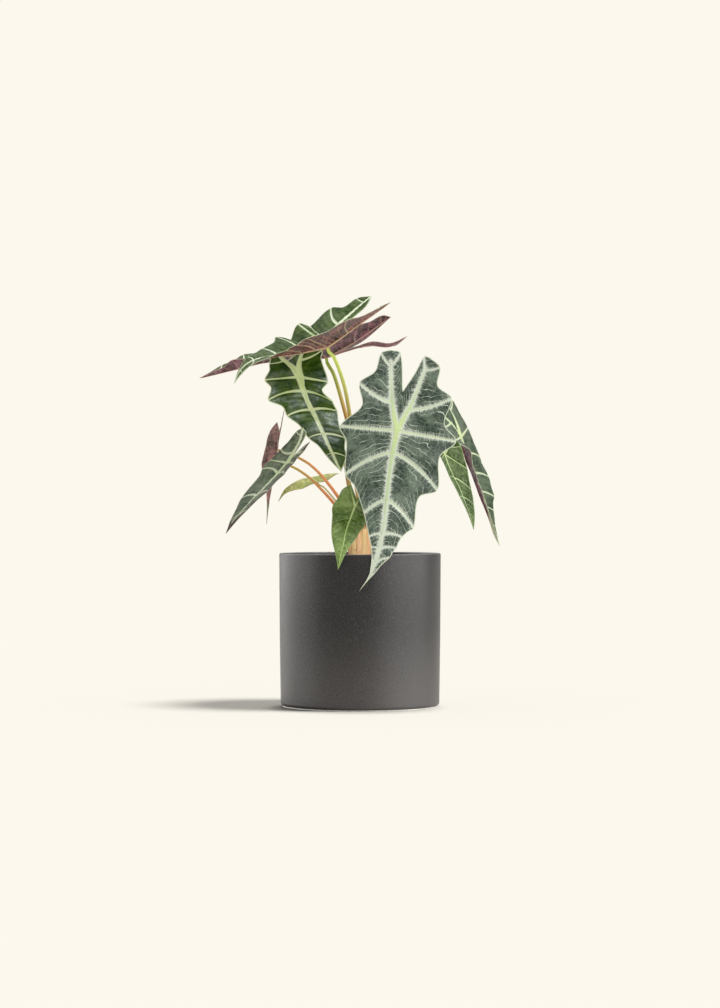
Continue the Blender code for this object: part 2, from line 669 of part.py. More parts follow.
def make_blade(name, shape):
    """A thin closed blade, split into triangles alike on both faces."""
    blade = Blade(shape)
    points, triangles = blade.middle_surface()
    normals = point_normals(points, triangles)
    half = BLADE_THICKNESS / 2
    shell = [point + normal * half for point, normal in zip(points, normals)]
    shell += [point - normal * half for point, normal in zip(points, normals)]
    count = len(points)
    faces = [list(corners) for corners in triangles]
    faces += [[corner + count for corner in corners[::-1]] for corners in triangles]
    edges = {(corners[i], corners[(i + 1) % 3]) for corners in triangles for i in range(3)}
    for start, end in edges:
        if (end, start) not in edges:
            faces.append([end, start, start + count])
            faces.append([end, start + count, end + count])
    solid_object(name, shell, sorted(faces), material(name, shape["colour"], 0.4))
    nearest = min(range(count), key=lambda i: (points[i] - blade.junction).length)
    return blade.junction, normals[nearest]


def make_stalk(name, shape, junction, facing):
    """A round stalk from the flat top of the stem base, straight into its blade's back at the end."""
    root = Vector((shape["root"][0] * MM, shape["root"][1] * MM, STEM_TOP + GAP))
    seat = junction - facing * (BLADE_THICKNESS / 2 + STALK_END_GAP)
    route = [root, root + Vector((0.0, 0.0, 6 * MM))]
    route += [place(*spot) for spot in shape["stalk"]]
    foot, neck = shape["stalk_radius"]
    route += [seat - facing * STALK_STRAIGHT_RADII * neck * MM, seat]
    course = smooth_curve(route)
    curve = bpy.data.curves.new(name, "CURVE")
    curve.dimensions = "3D"
    curve.bevel_depth = MM
    curve.bevel_resolution = 2
    curve.use_fill_caps = True
    spline = curve.splines.new("POLY")
    spline.points.add(STALK_POINTS + 1)
    places = [0.0, 0.5 / STALK_POINTS] + [step / STALK_POINTS for step in range(1, STALK_POINTS + 1)]
    for point, part in zip(spline.points, places):
        point.co = (*course(part), 1.0)
        point.radius = foot + (neck - foot) * part
    spline.points[1].co.x = root.x
    spline.points[1].co.y = root.y
    spline.points[-1].radius *= STALK_END_TAPER
    curve.materials.append(material(name, shape["stalk_colour"], 0.45))
    thing = bpy.data.objects.new(name, curve)
    bpy.context.scene.collection.objects.link(thing)


def main():
    clear_scene()
    make_pot()
    make_soil()
    make_stem_base()
    for name, shape in BLADES.items():
        junction, facing = make_blade(name, shape)
        make_stalk(name.replace("leaf", "petiole"), shape, junction, facing)


main()
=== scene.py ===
"""The looks of a potted polly alocasia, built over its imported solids, in metres, +Z up."""

import json
import math
import random
from collections import namedtuple
from types import SimpleNamespace

import bpy
import numpy as np
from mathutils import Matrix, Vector, noise

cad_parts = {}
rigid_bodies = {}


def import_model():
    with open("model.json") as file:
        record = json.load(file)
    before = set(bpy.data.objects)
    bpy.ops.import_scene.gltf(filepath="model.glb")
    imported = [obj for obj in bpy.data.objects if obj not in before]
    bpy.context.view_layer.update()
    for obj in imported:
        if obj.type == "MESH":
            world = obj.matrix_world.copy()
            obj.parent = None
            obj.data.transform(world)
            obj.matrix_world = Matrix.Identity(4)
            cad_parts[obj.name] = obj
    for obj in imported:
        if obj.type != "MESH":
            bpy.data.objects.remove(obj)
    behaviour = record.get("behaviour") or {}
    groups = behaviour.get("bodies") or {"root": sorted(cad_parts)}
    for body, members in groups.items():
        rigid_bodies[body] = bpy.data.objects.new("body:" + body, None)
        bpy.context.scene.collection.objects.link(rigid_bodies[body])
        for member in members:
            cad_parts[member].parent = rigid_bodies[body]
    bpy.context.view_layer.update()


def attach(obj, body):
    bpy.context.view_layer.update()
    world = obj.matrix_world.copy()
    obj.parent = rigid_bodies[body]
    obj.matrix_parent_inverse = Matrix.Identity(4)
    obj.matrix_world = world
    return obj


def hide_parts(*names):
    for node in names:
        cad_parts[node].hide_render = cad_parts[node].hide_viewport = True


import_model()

MM = 0.001

POT_HEIGHT = 143.4 * MM
POT_RADIUS_TOP = 75.7 * MM
POT_RADIUS_MIDDLE = 75.2 * MM
POT_RADIUS_LOW = 74.4 * MM
POT_BELLY = 0.25 * MM
POT_WALL = 4.5 * MM
POT_FLOOR = 7.0 * MM
POT_LIP_RADIUS = 1.4 * MM
POT_CORNER_RADIUS = 3.0 * MM
POT_FOOT_HEIGHT = 1.0 * MM
POT_FOOT_INSET = 0.2 * MM
POT_FOOT_BEVEL = 0.3 * MM
POT_SIDES = 192

SOIL_TOP = 129.0 * MM
SOIL_DEPTH = 12.0 * MM
SOIL_BUMP = 1.6 * MM
SOIL_GRAIN = 0.9 * MM
SOIL_RINGS = 56
SOIL_SIDES = 150
SOIL_CRUMBS = 1500

STEM_TOP = 166.0 * MM
STEM_HOLE = 12.8 * MM
SHEATH_RADIUS = 5.2 * MM
SHEATH_TAPER = 0.8 * MM
SHEATH_CLASP = 0.25 * MM
SHEATH_RINGS = 60
SHEATH_SIDES = 28

BLADE_HALF_THICKNESS = 0.30 * MM
MARGIN_HALF_THICKNESS = 0.18 * MM
CAD_BLADE_THICKNESS = 0.7 * MM
CAD_STALK_END_GAP = 0.5 * MM
CAD_STALK_FOOT_GAP = 0.3 * MM
EDGE_THINS_OVER = 2.0 * MM
STEP_LENGTH = 1.15 * MM
FINE_VEIN_GAP = 6.5 * MM
RIB_TAPER = 0.72
RIB_LEAST = 0.2
RIB_FLARE = 0.35
RIB_FLARE_PART = 0.1
FORK_FADES_TO = 0.92
FORK_FADE = 0.12
VEIN_TAPER = 0.55
VEIN_LEAST = 0.3
FULL_VEIN_LENGTH = 26 * MM
VEIN_ARCH = 0.18
ARCH_FULL_AT = 0.15
INNER_FULLNESS = 0.4
PUCKER_FULL_REACH = 26 * MM
PUCKER_SPREAD = 0.85
VEIN_CLEARANCE = 3.0 * MM
MARGIN_CLEARANCE = 2.5 * MM
BROAD_RIPPLE = 95.0
FINE_RIPPLE = 260.0

STALK_STRAIGHT_RADII = 2.8
STALK_FLARE = 0.28
STALK_FLARE_MM = 14.0
STALK_OVAL = 0.035
STALK_NECK = 0.97
STALK_NECK_TAPER = 0.25
STALK_SINK = 0.7 * MM
STALK_RINGS = 96
STALK_SIDES = 20

BACKDROP = (252, 248, 237)
WORLD_LIGHT = 0.5
FLOOR_SHADE = 0.25
FLOOR_REACH = 60.0
FLOOR_FADES_FROM = 1.5
FLOOR_FADES_TO = 3.0
KEY_FROM = (0.59, -0.10, 0.80)
KEY_SPREAD = 22.0
KEY_SHARE_OF_FLOOR = 0.57
TOP_FROM = (0.03, 0.17, 0.985)
TOP_SPREAD = 12.0
FILL_SPREAD = 60.0
PANEL_SIZE = (3.0, 2.4)
GLOSS_SIZE = (0.7, 0.7)
GLOSS_RADIANCE = 7.0
GLOSS_COLOUR = (0.86, 0.95, 1.0)
GLOSSY_FROM = 0.35

CAMERA_PLACE = (0.0, -2.6, 0.1894)
CAMERA_FILM = 36.0
CAMERA_LENS = CAMERA_FILM * 2773.0 / 1008.0

# Places are x, y and z in millimetres. Each blade has a midrib from its stalk to its tip, and a
# costa up the middle of each of its two basal lobes. A row of outer or inner margin is (along, x,
# y, z, dip, peak): along is where its side vein leaves the costa, as a part of the costa's length
# and below nought. The margin curves in to a bay before the next vein: dip is its depth and peak
# how far along it lies, both as parts of the way there. Left out, dip is nought and peak a half.
# A pair is two side veins that leave the midrib together, at the left and right hand of the
# blade's upper face, and the midrib parts they leave at are in pairs_at.
BLADES = dict(
    leaf_front=dict(
        pucker=1.2, notch=(39.5, -44, 293.5), root=(3.4, -8.0), stalk_radius=(2.4, 1.9),
        pairs_at=[0.0, 0.13, 0.42, 0.63, 0.72, 0.81, 0.9],
        midrib=[(34, -55, 256.5), (28.5, -59, 228), (24.5, -66, 195), (21, -74, 165.5),
                (14.5, -81, 138.5), (5.5, -84, 119.5), (-0.5, -85, 110.5)],
        stalk=[(5.5, -8, 170.5), (18.5, -4, 213.5), (28, -22, 243.5)],
        left=dict(
            costa=[(30.5, -50, 276), (29, -44, 294.5), (28.5, -36, 332)],
            outer=[(-0.8, 19.5, -37, 329, 0.15), (-0.35, -0.5, -44, 301, 0.24, 0.42)],
            inner=[(-0.8, 37.5, -36, 329)],
            pairs=[(-18.5, -50, 261, 0.09, 0.33), (-13.5, -58, 216.5, 0.07, 0.35), (3.5, -68, 180.5),
                   (8, -75, 159.5, 0.02), (10, -78, 150, 0.02), (10.5, -81, 139.5, 0.02), (8, -84, 124)]),
        right=dict(
            costa=[(40.5, -51, 268.5), (47, -47, 280.5), (53.5, -42, 296.5), (60, -38, 313),
                   (64.5, -36, 325)],
            outer=[(-0.84, 74, -40, 315.5, 0.25), (-0.3, 84.5, -46, 286.5, 0.23, 0.57)],
            inner=[(-0.84, 59.5, -36, 326, 0.02)],
            pairs=[(88.5, -50, 247, 0.18, 0.4), (71, -60, 202, 0.25, 0.36), (49, -71, 167.5, 0.03),
                   (38.5, -75, 159, 0.04), (33, -78, 149, 0.03), (27, -81, 140.5, 0.04),
                   (13.5, -84, 126.5, 0.02)])),
    leaf_left=dict(
        pucker=2.2, notch=(-67.5, -5, 324), root=(-3.2, -2.2), stalk_radius=(2.4, 1.8),
        pairs_at=[0.0, 0.14, 0.34, 0.6, 0.8],
        midrib=[(-56, -8, 308), (-52.5, -10, 295), (-47.5, -13, 282.5), (-41, -17, 269.5),
                (-33.5, -21, 253.5), (-25, -26, 235), (-17.5, -30, 219)],
        stalk=[(-9.5, 2, 202.5), (-14, 4, 230.5), (-22.5, 6, 263.5), (-35.5, 6, 291), (-47, 6, 305)],
        left=dict(
            costa=[(-64.5, -7, 318.5), (-73, -4, 325), (-81.5, -1, 333.5)],
            outer=[(-0.6, -85, -6, 320.5, 0.1, 0.4)],
            pairs=[(-89, -14, 305, 0.21, 0.45), (-85.5, -18, 286, 0.16, 0.62), (-68, -18, 271, 0.07),
                   (-48, -20, 250.5, 0.06), (-31.5, -24, 234)]),
        right=dict(
            costa=[(-57, -7, 318.5), (-54.5, -5, 329), (-48.5, -4, 337.5)],
            outer=[(-0.5, -35.5, -8, 333, 0.06, 0.25)],
            pairs=[(-29.5, -20, 303, 0.38, 0.3), (-25, -24, 284.5), (-21, -24, 276, 0.06),
                   (-13.5, -27, 250.5, 0.04), (-12.5, -29, 233)])),
    leaf_top=dict(
        pucker=1.8, notch=(-18.5, -13, 350), root=(2.9, -2.2), stalk_radius=(2.4, 1.6),
        pairs_at=[0.0, 0.13, 0.26, 0.5, 0.72, 0.87],
        midrib=[(-30.5, -20, 336), (-46.5, -28, 331.5), (-64.5, -38, 327.5), (-83, -46, 325),
                (-99, -53, 320.5), (-109, -57, 312.5), (-115.5, -60, 299.5)],
        stalk=[(-4, -4, 212), (-8, -6, 258.5), (-11.5, -8, 284.5), (-16.5, -12, 306),
               (-24.5, -17, 326.5)],
        left=dict(
            costa=[(-28, -12, 345.5), (-22.5, -4, 355), (-9.5, 10, 367.5), (2, 22, 378.5),
                   (11.5, 32, 386.5)],
            outer=[(-0.85, -3, 34, 384.5, 0.34, 0.55), (-0.36, -27.5, 36, 375.5),
                   (-0.12, -47.5, 27, 357.5)],
            inner=[(-0.7, 5.5, 14, 375, 0.03)],
            pairs=[(-58.5, 24, 359.5), (-66.5, 12, 342.5), (-79, 4, 346, 0.17), (-91, -18, 334, 0.06),
                   (-103.5, -40, 325), (-111, -53, 313.5)]),
        right=dict(
            costa=[(-18.5, -26, 343.5), (-3.5, -33, 354), (10, -39, 363), (28.5, -46, 375.5)],
            outer=[(-0.75, 18.5, -54, 370, 0.2), (-0.34, -13, -64, 357, 0.22)],
            inner=[(-0.82, 15, -36, 367.5), (-0.6, 2, -24, 361.5)],
            pairs=[(-48.5, -70, 340.5, 0.05), (-57.5, -70, 334.5, 0.03), (-67.5, -68, 329.5, 0.05),
                   (-84, -66, 322.5, 0.03), (-99.5, -64, 316, 0.02), (-108, -62, 308.5)])),
    leaf_upper_back=dict(
        pucker=1.6, notch=(-18, 43, 335), root=(0.0, 3.4), stalk_radius=(2.4, 1.7),
        pairs_at=[0.0, 0.28, 0.5, 0.7, 0.88],
        midrib=[(-32, 40, 329.5), (-52.5, 36, 327.5), (-71, 30, 326), (-92.5, 22, 323), (-113, 14, 317.5),
                (-131.5, 7, 312.5), (-150.5, 2, 307.5)],
        stalk=[(0, 12, 212), (-10, 20, 259.5), (-18, 28, 290), (-25, 35, 312.5)],
        left=dict(
            costa=[(-14.5, 49, 335.5), (7.5, 57, 341.5), (29, 64, 341), (45.5, 70, 351)],
            outer=[(-0.8, 34.5, 76, 342.5, 0.1), (-0.42, 2, 82, 341, 0.16)],
            inner=[(-0.82, 29, 58, 343.5), (-0.55, 11.5, 50, 344.5, 0.04)],
            pairs=[(-37, 84, 343.5, 0.2), (-70.5, 74, 341, 0.18), (-94, 60, 336, 0.12),
                   (-111.5, 44, 331.5, 0.08), (-130.5, 22, 320.5, 0.02)]),
        right=dict(
            costa=[(-14, 26, 338), (5.5, 12, 349.5), (19, 3, 358.5), (29, -4, 364.5)],
            outer=[(-0.86, 20.5, -8, 365.5, 0.12), (-0.45, -2, -8, 356, 0.08)],
            inner=[(-0.5, 2, 26, 343)],
            pairs=[(-39.5, 11, 333.5, 0.1), (-68.5, 9, 330.5, 0.1), (-92, 4, 327.5, 0.06),
                   (-120, -4, 324, 0.2), (-136.5, -3, 314, 0.03)])),
    leaf_low_left=dict(
        pucker=1.2, notch=(-62, -47, 232), root=(-5.6, -6.6), stalk_radius=(1.7, 1.1),
        pairs_at=[0.0, 0.16, 0.48, 0.76],
        midrib=[(-66.5, -45, 227), (-74.5, -48, 218), (-84.5, -51, 207), (-96.5, -54, 195),
                (-106.5, -56, 184), (-115.5, -58, 174), (-123, -60, 162)],
        stalk=[(-17, -12, 177.5), (-24, -16, 189.5), (-35.5, -22, 202.5), (-45.5, -28, 212.5),
               (-55.5, -35, 220), (-62, -41, 223.5)],
        left=dict(
            costa=[(-61, -43, 237.5), (-55.5, -40, 247.5), (-52.5, -38, 260)],
            outer=[(-0.8, -59, -32, 256.5, 0.05), (-0.3, -73.5, -14, 240.5, 0.1)],
            inner=[(-0.8, -49.5, -42, 254)],
            pairs=[(-84, -10, 230), (-91, -14, 222, 0.13, 0.3), (-109.5, -32, 195, 0.03),
                   (-119, -48, 174.5, 0.02)]),
        right=dict(
            costa=[(-58, -54, 234.5), (-51.5, -60, 240.5), (-45.5, -64, 246.5)],
            outer=[(-0.5, -50.5, -72, 238, 0.03)],
            inner=[(-0.5, -52.5, -54, 241.5)],
            pairs=[(-60, -78, 226.5, 0.03), (-69, -80, 216, 0.06), (-83.5, -80, 201, 0.05),
                   (-103, -72, 183.5, 0.03)])),
    leaf_back_left=dict(
        pucker=1.0, notch=(-77.5, 24, 247), root=(-8.6, -0.8), stalk_radius=(1.7, 1.05),
        pairs_at=[0.0, 0.16, 0.45, 0.72],
        midrib=[(-78.5, 22, 240.5), (-80, 18, 229), (-82, 15, 216), (-84, 13, 202.5), (-86.5, 12, 187.5),
                (-88, 12, 170.5)],
        stalk=[(-14, -6, 184), (-20.5, -8, 196), (-35.5, -10, 215.5), (-46.5, -9, 226), (-57, -4, 232.5),
               (-66, 5, 237.5), (-72.5, 14, 240.5)],
        left=dict(
            costa=[(-77, 28, 252), (-74.5, 33, 265.5), (-72, 36, 279)],
            outer=[(-0.6, -74.5, 44, 265.5, 0.05)],
            pairs=[(-82.5, 58, 243, 0.1), (-88, 56, 224, 0.1), (-86, 40, 204.5, 0.08),
                   (-86, 24, 189.5, 0.03)]),
        right=dict(
            costa=[(-78.5, 18, 250), (-78, 14, 258), (-78, 10, 266.5)],
            outer=[(-0.7, -83.5, 1, 259, 0.02), (-0.35, -86.5, -2, 251.5, 0.08)],
            inner=[(-0.5, -76, 19, 256.5)],
            pairs=[(-90, -3, 236, 0.02), (-92, -4, 225.5, 0.06), (-89, 3, 208, 0.05),
                   (-87.5, 8, 191.5, 0.03)])),
    leaf_small_front=dict(
        pucker=0.8, notch=(-3, -48, 194), root=(-1.2, -8.9), stalk_radius=(1.9, 1.4),
        pairs_at=[0.0, 0.2, 0.46, 0.76],
        midrib=[(-4.5, -50, 187.5), (-9, -56, 175.5), (-13, -64, 164), (-15.5, -73, 152), (-18, -79, 141),
                (-20, -81, 129.5)],
        stalk=[(-3.5, -18, 169), (-3, -28, 178.5), (-3.5, -38, 185)],
        left=dict(
            costa=[(-6.5, -47, 195), (-8, -44, 201.5), (-8, -42, 207.5)],
            outer=[(-0.55, -16, -42, 203, 0.02)],
            pairs=[(-25.5, -46, 186.5, 0.02), (-26, -56, 171, -0.02), (-25.5, -67, 156.5),
                   (-22.5, -77, 144, 0.02)]),
        right=dict(
            costa=[(-1, -46, 194), (2, -43, 199.5)],
            outer=[(-0.5, 6.5, -43, 191, 0.03)],
            pairs=[(7.5, -50, 178.5, 0.02), (4, -57, 169, 0.02), (-4, -67, 157.5, 0.02),
                   (-14, -78, 142)])),
    leaf_small_back=dict(
        pucker=0.5, notch=(-35, 26, 213), root=(-6.6, 5.4), stalk_radius=(1.1, 0.65),
        pairs_at=[0.0, 0.28, 0.56, 0.8],
        midrib=[(-40, 26, 211), (-49, 22, 209.5), (-58.5, 18, 207.5), (-67, 15, 203.5), (-72.5, 13, 199),
                (-77, 11, 191.5)],
        stalk=[(-11.5, 8, 179), (-25.5, 16, 195.5), (-34, 22, 205)],
        left=dict(
            costa=[(-33, 30, 214), (-26.5, 35, 216.5), (-20, 38, 218.5)],
            outer=[(-0.5, -31.5, 45, 218, 0.02)],
            pairs=[(-46, 48, 215, 0.02), (-56, 43, 213), (-67.5, 29, 206.5), (-72.5, 18, 201)]),
        right=dict(
            costa=[(-33, 21, 213), (-27.5, 16, 215), (-21.5, 12, 218)],
            outer=[(-0.5, -32, 7, 211, 0.02)],
            pairs=[(-45, 3, 208), (-53.5, 3, 204), (-65, 7, 201.5), (-71, 9, 198.5)])),
    leaf_right=dict(
        pucker=1.2, notch=(82.5, 13, 277), root=(6.4, 5.6), stalk_radius=(2.2, 1.6),
        pairs_at=[0.0, 0.16, 0.34, 0.5, 0.64, 0.8],
        midrib=[(95, 15, 252.5), (97.5, 13, 241), (100.5, 11, 230), (104.5, 9, 220.5), (109, 7, 208),
                (113, 5, 196.5), (117.5, 4, 185.5), (122, 3, 173.5), (125.5, 2, 162), (131, 0, 150)],
        stalk=[(17, 8, 193), (42.5, 18, 226), (68, 28, 248), (85.5, 27, 255)],
        left=dict(
            costa=[(88.5, 8, 262), (80.5, 1, 269.5), (72, -5, 277.5)],
            outer=[(-0.5, 76.5, -13, 261, 0.05)],
            pairs=[(88.5, -14, 248, 0.05), (103, -12, 239, 0.1), (105.5, -14, 224, 0.02),
                   (110.5, -12, 210, 0.02), (116.5, -8, 194.5, 0.02), (122.5, -2, 177)]),
        right=dict(
            costa=[(91.5, 20, 264), (86, 26, 276.5), (79, 32, 292)],
            outer=[(-0.65, 87.5, 42, 289, 0.03)],
            pairs=[(102.5, 40, 262, 0.04), (114, 38, 234, 0.1, 0.35), (122, 28, 215, 0.04),
                   (127, 18, 196, 0.09, 0.4), (126, 12, 183), (127.5, 7, 168)])),
    leaf_small_right=dict(
        pucker=0.8, notch=(78, -30, 242), root=(8.4, -2.0), stalk_radius=(1.9, 1.4),
        pairs_at=[0.0, 0.32, 0.58, 0.8],
        midrib=[(78, -30, 235.5), (81.5, -32, 225.5), (86, -34, 215.5), (92, -36, 203.5),
                (96.5, -38, 192), (100.5, -39, 181), (105, -40, 165.5)],
        stalk=[(18.5, -4, 185.5), (37.5, -8, 205.5), (59.5, -14, 227.5), (71.5, -20, 235)],
        left=dict(
            costa=[(75, -35, 240.5), (72, -40, 245.5)],
            outer=[(-0.5, 71, -46, 237.5, 0.02)],
            pairs=[(75, -48, 231), (82.5, -50, 214), (92, -49, 195.5), (100, -45, 179)]),
        right=dict(
            costa=[(82.5, -27, 243), (87.5, -23, 250.5)],
            outer=[(-0.5, 94, -16, 243.5, 0.02)],
            pairs=[(100, -13, 222, 0.04), (103.5, -19, 202.5), (105.5, -28, 188.5), (106, -35, 176.5)])))

# Colours are sRGB from 0 to 255. Widths are half widths in millimetres at the start of a midrib
# or a side vein: that of its core, then how much further its pale halo goes.
FRESH_VEIN = (206, 224, 156)
NET_TURN = 1.3
NET_TURN_REACH = 6.0
NET_WARP = (0.007, 0.007, 0.007)
DARK_BLADE = dict(
    blade=(78, 90, 66), blade_light=(112, 124, 98), core=(214, 224, 184), halo=(204, 214, 184),
    halo_amount=0.85, spikes=0.0, rib=(1.8, 0.6), vein=(1.1, 0.5), vein_show=0.9,
    net=(144, 160, 126), net_amount=0.4, edge=(206, 218, 182), under=(106, 72, 76),
    under_vein=(188, 154, 130), roughness=0.36, specular=0.27, quilt=0.35, ripple=0.25, hem=0.0,
    tip=None, under_edge=0.0, slot="blade_dark_green", rows=28)
MID_BLADE = dict(
    DARK_BLADE, blade=(72, 100, 32), blade_light=(136, 158, 94), core=(178, 206, 118),
    halo=(140, 164, 100), halo_amount=0.4, rib=(0.8, 0.4), vein=(0.3, 0.3), net=(142, 164, 104),
    net_amount=0.5, edge=(132, 158, 98), under=(124, 134, 88), under_vein=(168, 174, 122),
    quilt=0.30, slot="blade_mid_green", rows=20)
LOOKS = dict(
    leaf_front=dict(
        DARK_BLADE, blade=(54, 68, 57), blade_light=(106, 120, 104), core=(190, 210, 162),
        halo=(216, 223, 206), halo_amount=0.93, spikes=1.0, rib=(1.8, 3.5), vein=(0.7, 3.1),
        net=(206, 218, 200), net_amount=1.0, edge=(214, 224, 196), under=(108, 78, 84),
        roughness=0.42, quilt=0.24, rows=30),
    leaf_left=dict(
        DARK_BLADE, blade=(26, 58, 0), blade_light=(70, 96, 20), core=(214, 226, 170),
        halo=(196, 210, 164), rib=(2.9, 0.7), vein=(1.4, 0.5), net=(110, 132, 74), net_amount=0.2,
        edge=(220, 232, 190), roughness=0.33, specular=0.55, quilt=0.30, ripple=0.12),
    leaf_top=dict(
        DARK_BLADE, blade=(50, 74, 22), blade_light=(98, 118, 68), core=(236, 244, 214),
        halo=(208, 222, 182), rib=(2.6, 0.6), vein=(1.5, 0.5), under=(112, 68, 72),
        under_vein=(214, 188, 148), quilt=0.45),
    leaf_upper_back=dict(
        DARK_BLADE, blade=(56, 80, 34), blade_light=(98, 120, 74), core=(230, 238, 204),
        rib=(2.2, 0.5), vein=(1.3, 0.4), edge=(190, 158, 142), under=(116, 74, 90),
        under_vein=(204, 166, 148), quilt=0.40),
    leaf_low_left=dict(
        DARK_BLADE, blade=(62, 78, 52), blade_light=(116, 128, 100), core=(236, 244, 208),
        halo=(216, 224, 196), spikes=0.5, rib=(2.3, 1.4), vein=(1.0, 1.1), net=(160, 176, 140),
        net_amount=0.6, edge=(196, 206, 170), under=(92, 54, 66), under_vein=(172, 144, 122),
        roughness=0.34, hem=2.4, tip=(73.0, 79.0, (66, 40, 48)), rows=22),
    leaf_back_left=dict(
        DARK_BLADE, blade=(80, 100, 60), blade_light=(112, 130, 90), rib=(1.1, 0.4),
        vein=(0.6, 0.3), edge=(176, 142, 128), under=(130, 94, 92), under_vein=(190, 156, 146),
        tip=(50.0, 58.0, (128, 156, 104)), rows=20),
    leaf_small_front=dict(MID_BLADE, vein_show=0.45, net=(160, 184, 116), net_amount=0.75),
    leaf_small_back=dict(
        MID_BLADE, blade=(186, 202, 92), blade_light=(226, 230, 146), core=(236, 228, 176),
        halo=(196, 200, 130), rib=(0.7, 0.3), vein=(0.25, 0.2), net=(200, 204, 134),
        net_amount=0.4, edge=(210, 200, 146), under=(212, 216, 112), under_vein=(236, 226, 176),
        roughness=0.40, slot="blade_pale_green", rows=16),
    leaf_right=dict(
        DARK_BLADE, blade=(54, 70, 50), blade_light=(96, 110, 88), core=(206, 216, 178),
        spikes=0.5, rib=(2.0, 1.2), vein=(1.0, 1.0), net_amount=0.5, edge=(210, 220, 184),
        under=(106, 58, 76), under_vein=(150, 106, 110), roughness=0.34, under_edge=4.0, rows=24),
    leaf_small_right=dict(
        MID_BLADE, blade=(44, 66, 22), blade_light=(104, 124, 80), core=(216, 230, 180),
        halo=(176, 194, 142), halo_amount=0.6, rib=(1.0, 0.5), vein=(0.7, 0.5),
        net=(172, 190, 138), net_amount=0.8, under=(116, 124, 84), rows=18))
# The blades whose costas fork near their lobes' tips, where their last outer veins leave.
FORKED = {"leaf_front"}

# Each stalk's colours at its foot and its blade, the part where they start to turn, and its slot.
STALK_LOOKS = dict(
    petiole_front=((196, 150, 96), (150, 170, 90), 0.3, "stalk_brown"),
    petiole_left=((196, 166, 102), (158, 188, 94), 0.3, "stalk_green"),
    petiole_top=((222, 192, 112), (216, 236, 114), 0.45, "stalk_green"),
    petiole_upper_back=((214, 156, 80), (176, 206, 80), 0.55, "stalk_brown"),
    petiole_low_left=((250, 166, 108), (196, 168, 74), 0.35, "stalk_orange"),
    petiole_back_left=((250, 166, 104), (210, 178, 82), 0.35, "stalk_orange"),
    petiole_small_front=((206, 140, 92), (140, 170, 80), 0.2, "stalk_green"),
    petiole_small_back=((214, 180, 116), (196, 196, 120), 0.2, "stalk_green"),
    petiole_right=((200, 148, 92), (150, 164, 84), 0.3, "stalk_brown"),
    petiole_small_right=((200, 148, 92), (140, 172, 84), 0.3, "stalk_green"))
SHEATH_COLOURS = [(240, 204, 142), (240, 196, 134), (240, 228, 158), (238, 186, 130),
                  (240, 206, 140), (234, 180, 126), (240, 196, 146), (240, 216, 142),
                  (236, 190, 126), (238, 188, 138)]

Knot = namedtuple("Knot", "along point dip peak", defaults=(0.0, 0.5))
Ray = namedtuple("Ray", "along margin part count")


def linear(colour, share=1.0):
    """A share of the linear colour, with alpha, of an sRGB one of 0 to 255."""
    values = []
    for value in colour:
        part = value / 255
        values.append(part / 12.92 if part <= 0.04045 else ((part + 0.055) / 1.055) ** 2.4)
    return (*(share * value for value in values), 1.0)


def scaled(colour, factor):
    return tuple(min(value * factor, 255) for value in colour)


def place(x, y, z):
    return Vector((x, y, z)) * MM


def knot(along, x, y, z, *bay):
    return Knot(along, place(x, y, z), *bay)


def parts_along(points):
    """How far along the way through these points each of them lies, from 0 to 1."""
    lengths = [0.0]
    for before, after in zip(points, points[1:]):
        lengths.append(lengths[-1] + (after - before).length)
    return [length / lengths[-1] for length in lengths]


def smooth_curve(points):
    """A function from 0..1 to a point on the smooth curve through these points."""
    parts = parts_along(points)
    slopes = []
    for index in range(len(points)):
        low = max(index - 1, 0)
        high = min(index + 1, len(points) - 1)
        slopes.append((points[high] - points[low]) / (parts[high] - parts[low]))

    def at(part):
        part = min(max(part, 0.0), 1.0)
        index = 0
        while index < len(parts) - 2 and part > parts[index + 1]:
            index += 1
        span = parts[index + 1] - parts[index]
        t = (part - parts[index]) / span
        return ((2 * t**3 - 3 * t**2 + 1) * points[index]
                + (t**3 - 2 * t**2 + t) * span * slopes[index]
                + (3 * t**2 - 2 * t**3) * points[index + 1]
                + (t**3 - t**2) * span * slopes[index + 1])

    return at


def line_of(curve, steps=90):
    return np.array([curve(step / steps) for step in range(steps + 1)])


def bezier(start, middle, end, part):
    return start * (1 - part)**2 + middle * (2 * part * (1 - part)) + end * part**2


def bay_point(first, last, rib):
    """The deepest point of the bay between two vein ends, drawn in from the way between them."""
    chord = last.point - first.point
    inward = rib((first.along + last.along) / 2) - (first.point + last.point) / 2
    inward -= chord * (inward.dot(chord) / chord.length_squared)
    return first.point + chord * first.peak + inward.normalized() * first.dip * chord.length


def waved_margin(knots, rib):
    """The edge through vein ends and bays: a function from a place along the rib to its point."""
    alongs, points = [], []
    for first, last in zip(knots, knots[1:]):
        alongs.append(first.along)
        points.append(first.point)
        if first.dip:
            alongs.append(first.along + (last.along - first.along) * first.peak)
            points.append(bay_point(first, last, rib))
    alongs.append(knots[-1].along)
    points.append(knots[-1].point)
    curve = smooth_curve(points)
    parts = parts_along(points)
    return lambda along: curve(float(np.interp(along, alongs, parts)))


def line_distance(points, line):
    """Each point's distance to a line of points, and how far along the line it is nearest."""
    best = np.full(len(points), np.inf)
    along = np.zeros(len(points))
    run = 0.0
    for start, end in zip(line, line[1:]):
        step = end - start
        length = float(np.linalg.norm(step))
        if length < 1e-9:
            continue
        part = np.clip((points - start) @ step / length**2, 0.0, 1.0)
        distance = np.linalg.norm(points - start - part[:, None] * step, axis=1)
        nearer = distance < best
        best[nearer] = distance[nearer]
        along[nearer] = run + part[nearer] * length
        run += length
    return best, along


